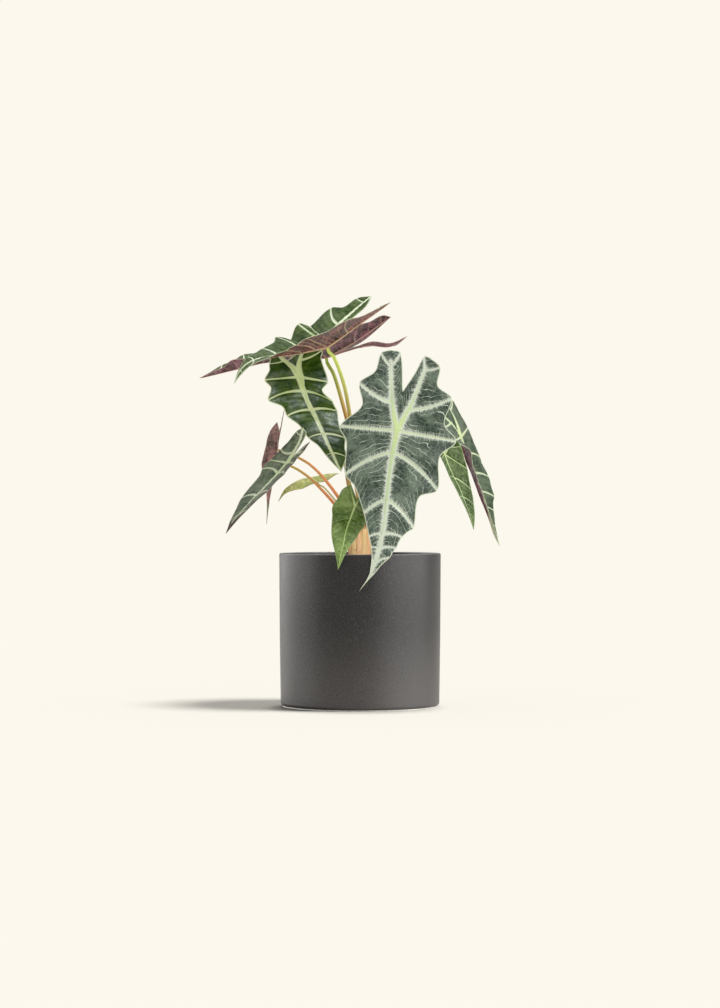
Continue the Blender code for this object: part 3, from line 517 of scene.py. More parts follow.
def nearest_line(points, lines):
    """Each point's distance to the nearest line, its place along it, which it is, and all lengths."""
    measured = [line_distance(points, line) for line in lines]
    distances = np.array([distance for distance, _ in measured])
    alongs = np.array([along for _, along in measured])
    which = np.argmin(distances, axis=0)
    each = np.arange(len(points))
    lengths = np.array([np.linalg.norm(np.diff(line, axis=0), axis=1).sum() for line in lines])
    return distances[which, each], alongs[which, each], which, lengths


class Blade:
    """One blade's middle surface, with the places of its veins at every point."""

    def __init__(self, shape, rows, forked):
        self.shape = shape
        self.rows = rows
        self.forked = forked
        self.midrib = smooth_curve([place(*spot) for spot in shape["midrib"]])
        self.junction = self.midrib(0.0)
        self.patches = []
        self.ribs = [line_of(self.midrib)]
        self.veins = []
        halves = [self.knots_of(shape[hand]) for hand in ("left", "right")]
        steps = [[self.steps_between(rib, first, last) for first, last in zip(knots, knots[1:])]
                 for _, rib, knots in halves]
        # Both halves take the same steps along the midrib, so that they share its points.
        for number in range(1, len(shape["pairs_at"]) + 1):
            most = tuple(max(pair) for pair in zip(steps[0][-number], steps[1][-number]))
            steps[0][-number] = steps[1][-number] = most
        for hand, side, half, own_steps in zip(("left", "right"), (-1, 1), halves, steps):
            self.add_half(*half, own_steps, side, shape[hand].get("inner", []))
        self.join()
        self.measure()

    def knots_of(self, half):
        """A half's costa, its rib from the lobe's tip to the blade's, and its outer knots."""
        costa = smooth_curve([self.junction] + [place(*spot) for spot in half["costa"]])

        def rib(along):
            return costa(-along) if along < 0 else self.midrib(along)

        knots = [Knot(-1.0, costa(1.0))] + [knot(*spot) for spot in half["outer"]]
        for along, spot in zip(self.shape["pairs_at"], half["pairs"]):
            knots.append(knot(along, *spot))
        knots.append(Knot(1.0, self.midrib(1.0)))
        return costa, rib, knots

    def steps_between(self, rib, first, last):
        """How many rays and how many fine veins lie between two knots."""
        rib_step = (rib(last.along) - rib(first.along)).length
        edge_step = (last.point - first.point).length
        return (max(5, math.ceil(max(rib_step, edge_step) / STEP_LENGTH)),
                max(1, round((rib_step + edge_step) / 2 / FINE_VEIN_GAP)))

    def add_half(self, costa, rib, knots, steps, side, inner_spots):
        """An outer patch beside the whole rib and an inner one between the costa and the notch."""
        self.ribs.append(line_of(costa))
        outer = waved_margin(knots, rib)
        notch = Knot(0.0, place(*self.shape["notch"]))
        inner = waved_margin([knots[0]] + [knot(*spot) for spot in inner_spots] + [notch], rib)
        count = -sum(fine for first, (_, fine) in zip(knots, steps) if first.along < 0)
        outer_rays = []
        for first, last, (rays, fine) in zip(knots, knots[1:], steps):
            for ray in range(rays):
                part = ray / rays
                along = first.along + (last.along - first.along) * part
                outer_rays.append(Ray(along, outer(along), part, count + part * fine))
            count += fine
        outer_rays.append(Ray(1.0, outer(1.0), 0.0, count))
        inner_rays = []
        for along in [ray.along for ray in outer_rays if ray.along < 0] + [0.0]:
            length = (rib(along) - self.junction).length
            inner_rays.append(Ray(along, inner(along), min(-along, 0.5), -length / FINE_VEIN_GAP))
        veins_at = [knot.along for knot in knots[1:-1]]
        self.add_patch(outer_rays, rib, side, 1.0, veins_at)
        self.add_patch(inner_rays, rib, -side, INNER_FULLNESS, veins_at[:1] if self.forked else [])

    def add_patch(self, rays, rib, side, fullness, veins_at):
        """Rows of points over one patch, arched along its veins and puckered between them."""
        count = self.rows
        rows = []
        for along, margin, _, _ in rays:
            root = rib(along)
            if (margin - root).length < 0.01 * MM:
                rows.append([root] * (count + 1))
                continue
            ahead = rib(min(along + 0.02, 1.0)) - rib(max(along - 0.02, -1.0))
            bend = VEIN_ARCH * min(max(along / ARCH_FULL_AT, -1.0), 1.0)
            middle = (root + margin) / 2 - ahead.normalized() * bend * (margin - root).length
            rows.append([bezier(root, middle, margin, step / count) for step in range(count + 1)])
            if along in veins_at:
                self.veins.append(np.array(rows[-1]))
        lifted = []
        for index, ray in enumerate(rays):
            before = rows[max(index - 1, 0)]
            after = rows[min(index + 1, len(rows) - 1)]
            reach = (ray.margin - rows[index][0]).length
            swell = self.shape["pucker"] * MM * fullness * math.sin(math.pi * ray.part)
            swell *= min(reach / PUCKER_FULL_REACH, 1.0)
            row = []
            for step, point in enumerate(rows[index]):
                inward = rows[index][max(step - 1, 0)]
                outward = rows[index][min(step + 1, count)]
                up = (after[step] - before[step]).cross(outward - inward) * side
                if step and swell and up.length > 1e-15:
                    lift = swell * math.sin(math.pi * PUCKER_SPREAD * step / count)
                    point = point + up.normalized() * lift
                row.append(point)
            lifted.append(row)
        self.patches.append((lifted, side, [ray.count for ray in rays]))

    def join(self):
        """Joins the patches into one mesh. Points that patches share keep their first values."""
        index_of, points, values, triangles = {}, [], [], []

        def index(point, *own):
            key = tuple(round(value, 7) for value in point)
            if key not in index_of:
                index_of[key] = len(points)
                points.append(point)
                values.append(own)
            return index_of[key]

        for patch, (rows, side, counts) in enumerate(self.patches):
            right_half = float(patch > 1)
            grid = []
            for number, row in enumerate(rows):
                low, high = max(number - 1, 0), min(number + 1, len(rows) - 1)
                turns = max(abs(counts[high] - counts[low]), 1e-6)
                grid.append([index(point, counts[number],
                                   (rows[high][step] - rows[low][step]).length / turns, right_half)
                             for step, point in enumerate(row)])
            for row, beyond in zip(grid, grid[1:]):
                for step in range(len(row) - 1):
                    a, b, c, d = row[step], row[step + 1], beyond[step + 1], beyond[step]
                    for corners in ((a, d, c), (a, c, b)):
                        if len(set(corners)) == 3:
                            triangles.append(corners if side > 0 else corners[::-1])
        self.points = np.array(points)
        self.triangles = np.array(triangles)
        self.vein_count, self.vein_gap, self.right_half = np.array(values).T
        self.normals = self.point_normals()
        edges = {tuple(edge) for edge in self.triangles[:, [0, 1, 1, 2, 2, 0]].reshape(-1, 2).tolist()}
        self.border = sorted(edge for edge in edges if edge[::-1] not in edges)

    def measure(self):
        """Each point's place among the ribs and veins, and its distance to the margin."""
        self.rib_distance, self.rib_along, rib, lengths = nearest_line(self.points, self.ribs)
        self.rib_length = lengths.max()
        self.rib_part = self.rib_along / lengths[rib]
        self.rib_fade = np.ones(len(self.points))
        if self.forked:
            fade = np.clip((FORK_FADES_TO - self.rib_part) / FORK_FADE, 0.0, 1.0)
            self.rib_fade = np.where(rib > 0, fade, 1.0)
        self.vein_distance, along, vein, lengths = nearest_line(self.points, self.veins)
        self.vein_along = along + vein
        self.vein_part = along / lengths[vein]
        self.vein_size = np.clip(lengths[vein] / FULL_VEIN_LENGTH, VEIN_LEAST, 1.0)
        self.margin_distance = np.full(len(self.points), 1.0)
        for start, end in self.border:
            distance, _ = line_distance(self.points, self.points[[start, end]])
            self.margin_distance = np.minimum(self.margin_distance, distance)

    def raise_tissue(self, height):
        """Puffs the tissue up between its veins, and ripples it all over."""
        clear = np.minimum(self.vein_distance, self.rib_distance) / VEIN_CLEARANCE
        clear = np.clip(np.minimum(clear, self.margin_distance / MARGIN_CLEARANCE), 0.0, 1.0)
        lift = np.sin(math.pi * self.vein_count)**2 * clear
        for number, point in enumerate(self.points):
            broad = noise.noise(Vector(point) * BROAD_RIPPLE)
            fine = noise.noise(Vector(point) * FINE_RIPPLE + Vector((7.0, 0.0, 0.0)))
            lift[number] += clear[number] * (1.5 * broad + 0.7 * fine)
        self.points = self.points + self.normals * (lift * height * MM)[:, None]
        self.normals = self.point_normals()

    def point_normals(self):
        corners = self.points[self.triangles]
        facing = np.cross(corners[:, 1] - corners[:, 0], corners[:, 2] - corners[:, 0])
        normals = np.zeros_like(self.points)
        for column in range(3):
            np.add.at(normals, self.triangles[:, column], facing)
        return normals / np.maximum(np.linalg.norm(normals, axis=1), 1e-12)[:, None]


class Value:
    """What one node gives, so that formulas of it make the nodes they need."""

    def __init__(self, nodes, socket):
        self.nodes = nodes
        self.socket = socket

    def __add__(self, other):
        return self.nodes.math("ADD", self, other)

    def __sub__(self, other):
        return self.nodes.math("SUBTRACT", self, other)

    def __mul__(self, other):
        return self.nodes.math("MULTIPLY", self, other)


class Nodes:
    """A short way to wire the nodes of one material or world."""

    def __init__(self, owner):
        self.owner = owner
        self.owner.use_nodes = True
        self.tree = owner.node_tree

    def feed(self, socket, value):
        if isinstance(value, Value):
            self.tree.links.new(value.socket, socket)
        else:
            socket.default_value = value

    def value(self, kind, inputs, output=0, **settings):
        """What a new node of this kind gives. Its inputs are fed by their numbers or names."""
        node = self.tree.nodes.new("ShaderNode" + kind)
        for name, setting in settings.items():
            setattr(node, name, setting)
        for key, value in inputs.items():
            self.feed(node.inputs[key], value)
        return Value(self, node.outputs[output])

    def attributes(self, *names):
        return [self.value("Attribute", {}, "Fac", attribute_name=name) for name in names]

    def place(self):
        """The point's place in the object's frame."""
        return self.value("TexCoord", {}, "Object")

    def math(self, operation, *values):
        return self.value("Math", dict(enumerate(values)), operation=operation)

    def most(self, first, second):
        return self.math("MAXIMUM", first, second)

    def vector(self, x, y, z=0.0):
        return self.value("CombineXYZ", {0: x, 1: y, 2: z})

    def span(self, value, low, high, to_low=0.0, to_high=1.0, kind="SMOOTHSTEP"):
        """The value's place from low to high, as a number from to_low to to_high."""
        inputs = {"Value": value, "From Min": low, "From Max": high,
                  "To Min": to_low, "To Max": to_high}
        return self.value("MapRange", inputs, interpolation_type=kind)

    def fall(self, value, low, high, top=1.0):
        """The top up to low, and nought from high on."""
        return self.span(value, low, high, top, 0.0)

    def noise(self, vector, scale, detail=2.0, roughness=0.5):
        return self.value("TexNoise", {"Vector": vector, "Scale": scale, "Detail": detail,
                                       "Roughness": roughness})

    def cells(self, vector, scale):
        """The distance to the nearest border between cells of random shape."""
        return self.value("TexVoronoi", {"Vector": vector, "Scale": scale}, "Distance",
                          feature="DISTANCE_TO_EDGE")

    def mix(self, part, *colours):
        first, second = [linear(one) if isinstance(one, tuple) else one for one in colours]
        return self.value("Mix", {0: part, 6: first, 7: second}, 2, data_type="RGBA")

    def finish(self, colour, roughness, specular=0.5, relief=None, strength=0.0):
        """Feeds the surface shader. The relief's height is in millimetres."""
        inputs = self.tree.nodes["Principled BSDF"].inputs
        self.feed(inputs["Base Color"], colour)
        self.feed(inputs["Roughness"], roughness)
        self.feed(inputs["Specular IOR Level"], specular)
        if relief is not None:
            bump = {"Strength": strength, "Distance": MM, "Height": relief}
            self.feed(inputs["Normal"], self.value("Bump", bump))
        return self.owner


def material_nodes(name):
    return Nodes(bpy.data.materials.new(name))


def mottled(name, dark, light, grain, spread, roughness, height=0.0, strength=0.0):
    """Matter of two tones that change at random, with a relief to match if it has a height."""
    n = material_nodes(name)
    tone = n.noise(n.place(), *grain)
    colour = n.mix(n.span(tone, 0.5 - spread, 0.5 + spread), dark, light)
    relief = tone * height if height else None
    return n.finish(colour, roughness, relief=relief, strength=strength)


def tissue_colour(n, blotch, grain, dark, light, darkest):
    """Blotches of two tones with a fine light and dark grain."""
    colour = n.mix(n.span(blotch, 0.36, 0.66), dark, light)
    colour = n.mix(n.span(grain, 0.50, 0.70, 0.0, 0.5), colour, light)
    return n.mix(n.fall(grain, 0.32, 0.48, 0.6), colour, darkest)


def with_tip(n, colour, rib_along, tip):
    """The colour, turned to that of the blade's tip along the end of the midrib."""
    if not tip:
        return colour
    start, end, shade = tip
    return n.mix(n.span(rib_along, start, end, 0.0, 0.95), colour, shade)


def halo_part(n, out, along, seed, taper, reach, spikes):
    """How far a point lies in the pale halo beside a vein: one on the vein, nought beyond it."""
    comb_at = n.vector((out * 0.45 + along) * 0.95, out * 0.10, seed)
    comb = n.noise(comb_at, 1.0, 2.0, 0.8)
    far = n.span(comb, 0.38, 0.66, 1.0 - 0.55 * spikes, 1.0 + 0.9 * spikes, "LINEAR")
    far = far * taper * reach
    return n.fall(out, far * 0.15, far)


def upper_material(name, look):
    """The blade's upper face: dark tissue, pale veins with a feathered halo, and a fine net."""
    n = material_nodes(name + "_upper")
    at = n.place()
    rib, rib_along, taper = n.attributes("rib_mm", "rib_along", "rib_taper")
    vein, vein_along, vein_taper = n.attributes("vein_mm", "vein_along", "vein_taper")
    margin, right_half = n.attributes("margin_mm", "right_half")
    count, gap = n.attributes("vein_count", "vein_gap")
    grain = n.noise(at, 420, 2.0, 0.6)
    tissue = tissue_colour(n, n.noise(at, 60, 4.0, 0.6), grain, look.blade,
                           look.blade_light, scaled(look.blade, 0.74))

    # A net of fine veins: long lines that turn towards the tip near the margin, shorter ones
    # that stand on the side veins like a comb's teeth, and small cells.
    wander = n.noise(at, 48)
    turn = n.math("EXPONENT", margin * (-1 / NET_TURN_REACH)) * -NET_TURN
    line_at = count + turn + (wander - 0.5) * 2.0 + (n.noise(at, 150, 1.0) - 0.5) * 0.7
    line = n.math("PINGPONG", line_at, 0.5) * gap
    there = n.math("MINIMUM", n.span(vein, 1.2, 2.6), n.span(rib, 0.5, 1.5))
    there = there * n.span(n.noise(at, 85, 1.0), 0.38, 0.56, 0.2, 1.0)
    lines = n.fall(line, 0.10, 0.32) * there
    comb_at = vein_along * 0.23 + (n.noise(at, 90) - 0.5) * 1.3
    comb = n.math("PINGPONG", comb_at, 0.5) * 4.3
    teeth = n.span(n.noise(n.vector(vein_along * 0.21, 0.0), 1.0), 0.42, 0.58)
    combs = n.fall(comb, 0.10, 0.34) * n.fall(vein, 4.0, 8.0) * teeth
    warp = {0: n.vector(wander, n.noise(at, 95, 1.0), wander), 1: NET_WARP, 2: at}
    warped = n.value("VectorMath", warp, operation="MULTIPLY_ADD")
    small = n.fall(n.cells(warped, 165), 0.012, 0.055, 0.12)
    net = n.most(n.most(lines, combs * 0.6), small) * look.net_amount
    colour = n.mix(net, tissue, look.net)

    # The halo is feathered: its reach changes quickly along the vein, and slowly across it.
    rib_out = rib - taper * look.rib[0]
    vein_out = vein - vein_taper * look.vein[0]
    forked = n.span(taper, 0.0, 0.2)
    rib_halo = halo_part(n, rib_out, rib_along, 3.0, taper * 0.3 + 0.7, look.rib[1],
                         look.spikes) * forked
    vein_halo = halo_part(n, vein_out, vein_along, 9.0, vein_taper * 0.7 + 0.3, look.vein[1],
                          look.spikes)
    colour = n.mix(n.most(rib_halo, vein_halo) * look.halo_amount, colour, look.halo)

    rib_core = n.fall(rib_out, -0.6, 0.3) * forked
    vein_core = n.fall(vein_out, -0.4, 0.2)
    bleached = n.fall(taper, 0.42, 0.78, 0.75 * look.spikes)
    core = n.mix(bleached, look.core, look.halo)
    core = n.mix(n.fall(rib_along, 4.0, 38.0, 0.75), core, FRESH_VEIN)
    colour = n.mix(n.most(rib_core, vein_core * look.vein_show), colour, core)
    colour = n.mix(n.fall(margin, 0.4, 1.1, 0.9), colour, look.edge)
    if look.hem:
        # The underside's colour shows in a strip along the margin of the right half.
        strip = n.fall(margin, look.hem - 0.5, look.hem, 0.95)
        colour = n.mix(strip * right_half, colour, look.under)
    colour = with_tip(n, colour, rib_along, look.tip)

    relief = n.most(lines, combs) * -0.16 + n.span(vein, 0.0, 1.8, -0.35, 0.0) + vein_core * 0.22
    relief = relief + rib_core * 0.40 + grain * 0.10 + n.noise(at, 160) * look.ripple
    gloss = n.span(n.noise(at, 130), 0.3, 0.7, look.roughness - 0.05, look.roughness + 0.08)
    shine = n.span(n.noise(at, 52), 0.42, 0.60, 0.35 * look.specular, 1.5 * look.specular)
    return n.finish(colour, gloss, shine, relief, 0.8)


def under_material(name, look):
    """The blade's underside: wine-brown tissue with raised, paler veins."""
    n = material_nodes(name + "_under")
    at = n.place()
    rib, rib_along, taper = n.attributes("rib_mm", "rib_along", "rib_taper")
    vein, vein_taper = n.attributes("vein_mm", "vein_taper")
    margin, right_half = n.attributes("margin_mm", "right_half")
    count, gap = n.attributes("vein_count", "vein_gap")
    dark = scaled(look.under, 0.42)
    colour = tissue_colour(n, n.noise(at, 80, 4.0, 0.65), n.noise(at, 400, 2.0, 0.6), dark,
                           scaled(look.under, 1.28), dark)
    line = n.math("PINGPONG", count + (n.noise(at, 75) - 0.5) * 1.2, 0.5) * gap
    lines = n.fall(line, 0.12, 0.45) * n.span(rib, 0.5, 1.5)
    small = n.fall(n.cells(at, 170), 0.0, 0.07, 0.5)
    colour = n.mix(n.most(lines, small) * 0.42, colour, look.under_vein)
    rib_core = n.fall(rib - taper * (look.rib[0] * 0.55), -0.3, 0.4)
    vein_core = n.fall(vein - vein_taper * (look.vein[0] * 0.45), -0.2, 0.3)
    core = n.most(rib_core * 0.9, vein_core * 0.45)
    colour = n.mix(core, colour, look.under_vein)

    # The pale edge may widen along the midrib on the left half.
    widened = n.span(rib_along, 20.0, 55.0, 0.0, look.under_edge)
    beyond = margin - n.fall(right_half, 0.0, 1.0) * widened
    colour = n.mix(n.fall(beyond, 0.2, 0.8, 0.8), colour, look.edge)
    colour = with_tip(n, colour, rib_along, look.tip)
    relief = core * 0.5 + lines * 0.14 + n.noise(at, 220) * 0.4
    return n.finish(colour, 0.45, look.specular, relief, 0.8)


def fine_piece(node, slot, sharp, points, faces, materials, face_slots=None, **measures):
    """A finer mesh in the place of one node, with the measures that its materials read."""
    mesh = bpy.data.meshes.new(node + "_fine")
    mesh.from_pydata([tuple(point) for point in points], [], faces)
    for made in materials:
        mesh.materials.append(made)
    if face_slots:
        mesh.polygons.foreach_set("material_index", face_slots)
    mesh.shade_smooth()
    mesh.update()
    for name, values in measures.items():
        layer = mesh.attributes.new(name, "FLOAT", "POINT")
        layer.data.foreach_set("value", np.asarray(values, np.float32))
    mesh.set_sharp_from_angle(angle=math.radians(sharp))
    thing = bpy.data.objects.new(mesh.name, mesh)
    bpy.context.scene.collection.objects.link(thing)
    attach(thing, "root")
    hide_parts(node)
    return thing


def make_blade(name, shape, look):
    """A thin closed blade with a raised rib below. It gives its junction and the facing there."""
    blade = Blade(shape, look.rows, name in FORKED)
    blade.raise_tissue(look.quilt)
    rib_taper = np.clip(1.0 - RIB_TAPER * blade.rib_part, RIB_LEAST, 1.0) * blade.rib_fade
    flare = blade.rib_along / (RIB_FLARE_PART * blade.rib_length)
    rib_taper = rib_taper + RIB_FLARE * np.exp(-flare**2)
    vein_taper = np.clip(1.0 - VEIN_TAPER * blade.vein_part, VEIN_LEAST, 1.0) * blade.vein_size
    near_edge = np.clip(blade.margin_distance / EDGE_THINS_OVER, 0.0, 1.0)
    half = MARGIN_HALF_THICKNESS + (BLADE_HALF_THICKNESS - MARGIN_HALF_THICKNESS) * near_edge
    rib_width = look.rib[0] * MM * rib_taper
    rib_reach = np.maximum(0.8 * rib_width, 0.1 * MM)
    rib_depth = 0.5 * rib_width * np.exp(-(blade.rib_distance / rib_reach)**2)
    vein_width = look.vein[0] * MM * vein_taper
    vein_depth = 0.5 * vein_width * np.exp(-(blade.vein_distance / (1.2 * vein_width))**2)
    below = half + np.maximum(rib_depth, vein_depth) * near_edge
    upper = blade.points + blade.normals * half[:, None]
    lower = blade.points - blade.normals * below[:, None]

    count = len(blade.points)
    faces = blade.triangles.tolist() + (blade.triangles[:, ::-1] + count).tolist()
    faces += [(end, start, start + count, end + count) for start, end in blade.border]
    side_faces = len(blade.triangles)
    face_slots = [0] * side_faces + [1] * side_faces + [2] * len(blade.border)
    edge = mottled(name + "_rim", scaled(look.edge, 0.82), look.edge, (140,), 0.2, 0.5)
    measures = dict(
        rib_mm=blade.rib_distance / MM, rib_along=blade.rib_along / MM, rib_taper=rib_taper,
        vein_mm=blade.vein_distance / MM, vein_along=blade.vein_along / MM, vein_taper=vein_taper,
        margin_mm=blade.margin_distance / MM, vein_count=blade.vein_count,
        vein_gap=blade.vein_gap / MM, right_half=blade.right_half)
    fine_piece(name, look.slot, 55, np.concatenate([upper, lower]), faces,
               [upper_material(name, look), under_material(name, look), edge], face_slots,
               **{label: np.tile(values, 2) for label, values in measures.items()})
    nearest = int(np.argmin(np.linalg.norm(blade.points - np.array(blade.junction), axis=1)))
    return blade.junction, Vector(blade.normals[nearest])


def band_faces(rings, sides, closed=False):
    """Faces between rings of points that follow each other, and from the last to the first."""
    faces = []
    for ring in range(rings if closed else rings - 1):
        low, high = ring * sides, (ring + 1) % rings * sides
        for side in range(sides):
            after = (side + 1) % sides
            faces.append((low + side, low + after, high + after, high + side))
    return faces


def tube(course, radius_at, rings, sides):
    """Points and faces of a round tube with flat ends, and each point's part and turn in it."""
    points, parts, turns = [], [], []
    across = None
    for ring in range(rings + 1):
        part = ring / rings
        middle = course(part)
        ahead = (course(min(part + 0.004, 1.0)) - course(max(part - 0.004, 0.0))).normalized()
        if across is None:
            across = ahead.orthogonal().normalized()
        across = (across - ahead * across.dot(ahead)).normalized()
        third = ahead.cross(across)
        for side in range(sides):
            angle = math.tau * side / sides
            out = across * math.cos(angle) + third * math.sin(angle)
            points.append(middle + out * radius_at(part, angle))
            parts.append(part)
            turns.append(math.cos(angle))
    faces = band_faces(rings + 1, sides)
    faces.append(tuple(range(sides))[::-1])
    faces.append(tuple(range(rings * sides, (rings + 1) * sides)))
    return points, faces, parts, turns


def stalk_course(shape, junction, facing):
    """The stalk's way from the stem's top to its flat seat behind the blade."""
    root = Vector((shape["root"][0] * MM, shape["root"][1] * MM, STEM_TOP + CAD_STALK_FOOT_GAP))
    seat = junction - facing * (CAD_BLADE_THICKNESS / 2 + CAD_STALK_END_GAP)
    route = [root, root + Vector((0.0, 0.0, 6 * MM))]
    route += [place(*spot) for spot in shape["stalk"]]
    route += [seat - facing * STALK_STRAIGHT_RADII * shape["stalk_radius"][1] * MM, seat]
    return smooth_curve(route)


def stalk_material(name, foot, top, turns_at):
    """A waxy stalk whose colour turns from its foot to its blade, with fine lengthwise streaks."""
    n = material_nodes(name)
    part, turn, length = n.attributes("part", "turn", "length_mm")
    streak = n.noise(n.vector(turn * 3.2, length * 0.035), 1.6, 3.0, 0.6)
    fleck = n.noise(n.vector(turn * 5.0, length * 0.45), 2.2, 2.0, 0.7)
    colour = n.mix(n.span(part, turns_at, STALK_NECK), foot, top)
    colour = n.mix(n.span(streak, 0.45, 0.75, 0.0, 0.42), colour, scaled(foot, 0.70))
    colour = n.mix(n.span(fleck, 0.60, 0.74, 0.0, 0.30), colour, (118, 78, 52))
    relief = streak * 0.25 + n.noise(n.place(), 500) * 0.05
    return n.finish(colour, 0.38, relief=relief, strength=0.6)


def make_stalk(name, shape, junction, facing):
    """A stalk that flares at its foot, and narrows into the blade's back. It gives its course."""
    course = stalk_course(shape, junction, facing)
    foot, neck = shape["stalk_radius"]
    length = sum((course(i / 60) - course((i + 1) / 60)).length for i in range(60)) / MM

    def neck_part(part):
        return max(part - STALK_NECK, 0.0) / (1.0 - STALK_NECK)

    def radius_at(part, angle):
        size = foot + (neck - foot) * part
        size *= 1.0 + STALK_FLARE * math.exp(-(part * length / STALK_FLARE_MM)**2)
        size *= 1.0 - STALK_NECK_TAPER * neck_part(part)
        return size * MM * (1.0 + STALK_OVAL * math.cos(2 * angle + 6 * part))

    points, faces, parts, turns = tube(course, radius_at, STALK_RINGS, STALK_SIDES)
    points = [point + facing * STALK_SINK * neck_part(part) for point, part in zip(points, parts)]
    *colours, slot = STALK_LOOKS[name]
    fine_piece(name, slot, 60, points, faces, [stalk_material(name, *colours)], part=parts,
               turn=turns, length_mm=[part * length for part in parts])
    return course


def sheath_material(name, colour):
    """A dry sheath with streaks along it and brown stains."""
    n = material_nodes(name)
    height, turn = n.attributes("part", "turn")
    streak = n.noise(n.vector(turn * 4.0, height * 1.1), 2.4, 4.0, 0.65)
    made = n.mix(n.span(streak, 0.40, 0.72, 0.0, 0.6), colour, scaled(colour, 0.66))
    stain = n.noise(n.place(), 150, 3.0)
    made = n.mix(n.span(stain, 0.60, 0.76, 0.0, 0.45), made, (150, 98, 66))
    return n.finish(made, 0.5, relief=streak * 0.5, strength=0.7)


def make_stem_base(courses):
    """Clasping sheaths, one round the foot of each stalk, pressed together in one short stem."""
    points, faces, parts, turns, slots, materials = [], [], [], [], [], []
    for number, (name, course) in enumerate(courses.items()):
        shape = BLADES[name.replace("petiole", "leaf")]
        x, y = shape["root"]
        foot = shape["stalk_radius"][0] * MM
        path = smooth_curve([place(x * 0.55, y * 0.55, 112), place(x * 0.74, y * 0.74, 140),
                             place(x * 0.93, y * 0.93, 158), course(0.0), course(0.04),
                             course(0.10 + 0.02 * (number % 3))])

        def radius_at(part, angle, foot=foot, number=number):
            low = SHEATH_RADIUS - SHEATH_TAPER * part
            high = foot * 1.12 + SHEATH_CLASP
            blend = min(max((part - 0.34) / 0.50, 0.0), 1.0)
            blend = blend * blend * (3 - 2 * blend)
            return (low + (high - low) * blend) * (1.0 + 0.03 * math.cos(9 * angle + number))

        own = tube(path, radius_at, SHEATH_RINGS, SHEATH_SIDES)
        faces += [tuple(corner + len(points) for corner in face) for face in own[1]]
        points += own[0]
        parts += own[2]
        turns += [turn + number for turn in own[3]]
        materials.append(sheath_material(f"leaf_sheath_{number}", SHEATH_COLOURS[number]))
        slots += [number] * len(own[1])
    fine_piece("stem_base", "leaf_sheaths", 60, points, faces, materials, slots,
               part=parts, turn=turns)


def arc(radius, height, bend, start, end, steps):
    """Points on an arc of a profile about a centre, with its angles in degrees."""
    angles = [math.radians(start + (end - start) * step / steps) for step in range(steps + 1)]
    return [(radius + bend * math.cos(angle), height + bend * math.sin(angle)) for angle in angles]


def pot_material():
    """A dark glaze, almost matt, with a very fine speckle, painted floor light towards the foot,
    and a lip paler from a thinner glaze and from a painted highlight along the rim.
    """
    n = material_nodes("glazed_stoneware")
    at = n.place()
    height = n.value("SeparateXYZ", {0: at}, 2)
    cloud = n.noise(at, 22, 4.0, 0.6)
    speck = n.noise(at, 1350, 2.0, 0.7)
    colour = n.mix(n.span(cloud, 0.3, 0.7), (25, 23, 23), (30, 28, 27))
    # Painted light: the glaze turns lighter over the lowest 90 mm, standing in for light thrown up by the
    # floor.
    colour = n.mix(n.fall(height, 0.0, 90 * MM), colour, (64, 61, 59))
    colour = n.mix(n.span(speck, 0.52, 0.68, 0.0, 0.6), colour, (76, 74, 74))
    colour = n.mix(n.fall(speck, 0.32, 0.48, 0.8), colour, (20, 18, 18))
    # The paler lip is partly thinner glaze and partly a painted highlight along the rim.
    lip = n.span(height, POT_HEIGHT - 1.1 * MM, POT_HEIGHT - 0.2 * MM, 0.0, 0.45)
    colour = n.mix(lip, colour, (128, 125, 121))
    relief = speck * 0.13 + n.noise(at, 260, 3.0) * 0.12
    return n.finish(colour, n.span(cloud, 0.3, 0.7, 0.37, 0.43), 0.35, relief, 0.55)


def make_pot():
    """The pot's profile, turned round its axis, with a bare foot below the glaze."""
    inner = POT_RADIUS_TOP - POT_WALL
    foot = POT_RADIUS_LOW - POT_FOOT_INSET - POT_CORNER_RADIUS * 0.5
    lip_height = POT_HEIGHT - POT_LIP_RADIUS
    profile = [(0.0, 0.0), (foot - POT_FOOT_BEVEL, 0.0), (foot, POT_FOOT_BEVEL),
               (foot, POT_FOOT_HEIGHT)]
    bare_bands = len(profile) - 1
    profile += arc(POT_RADIUS_LOW - POT_CORNER_RADIUS, POT_FOOT_HEIGHT + POT_CORNER_RADIUS,
                   POT_CORNER_RADIUS, -70, 0, 12)
    profile += [(POT_RADIUS_LOW, 10 * MM), (POT_RADIUS_MIDDLE, POT_HEIGHT * 0.45),
                (POT_RADIUS_MIDDLE + POT_BELLY, POT_HEIGHT * 0.7)]
    profile += arc(POT_RADIUS_TOP - POT_LIP_RADIUS, lip_height, POT_LIP_RADIUS, 0, 90, 8)
    profile += arc(inner + POT_LIP_RADIUS, lip_height, POT_LIP_RADIUS, 90, 180, 8)
    profile += [(inner, POT_HEIGHT * 0.6), (inner, POT_FLOOR), (0.0, POT_FLOOR)]
    points, faces, slots, rings = [], [], [], []
    for radius, height in profile:
        sides = POT_SIDES if radius else 1
        rings.append(range(len(points), len(points) + sides))
        for side in range(sides):
            angle = math.tau * side / sides
            points.append((radius * math.cos(angle), radius * math.sin(angle), height))
    for number, (lower, upper) in enumerate(zip(rings, rings[1:])):
        for side in range(POT_SIDES):
            after = (side + 1) % POT_SIDES
            corners = [lower[side % len(lower)], lower[after % len(lower)],
                       upper[after % len(upper)], upper[side % len(upper)]]
            faces.append(tuple(dict.fromkeys(corners)))
            slots.append(int(number < bare_bands))
    clay = mottled("bare_clay_foot", (176, 172, 165), (200, 195, 187), (400, 3.0), 0.2, 0.85,
                   0.15, 0.6)
    return fine_piece("pot", "pot_stoneware", 35, points, faces, [pot_material(), clay], slots)


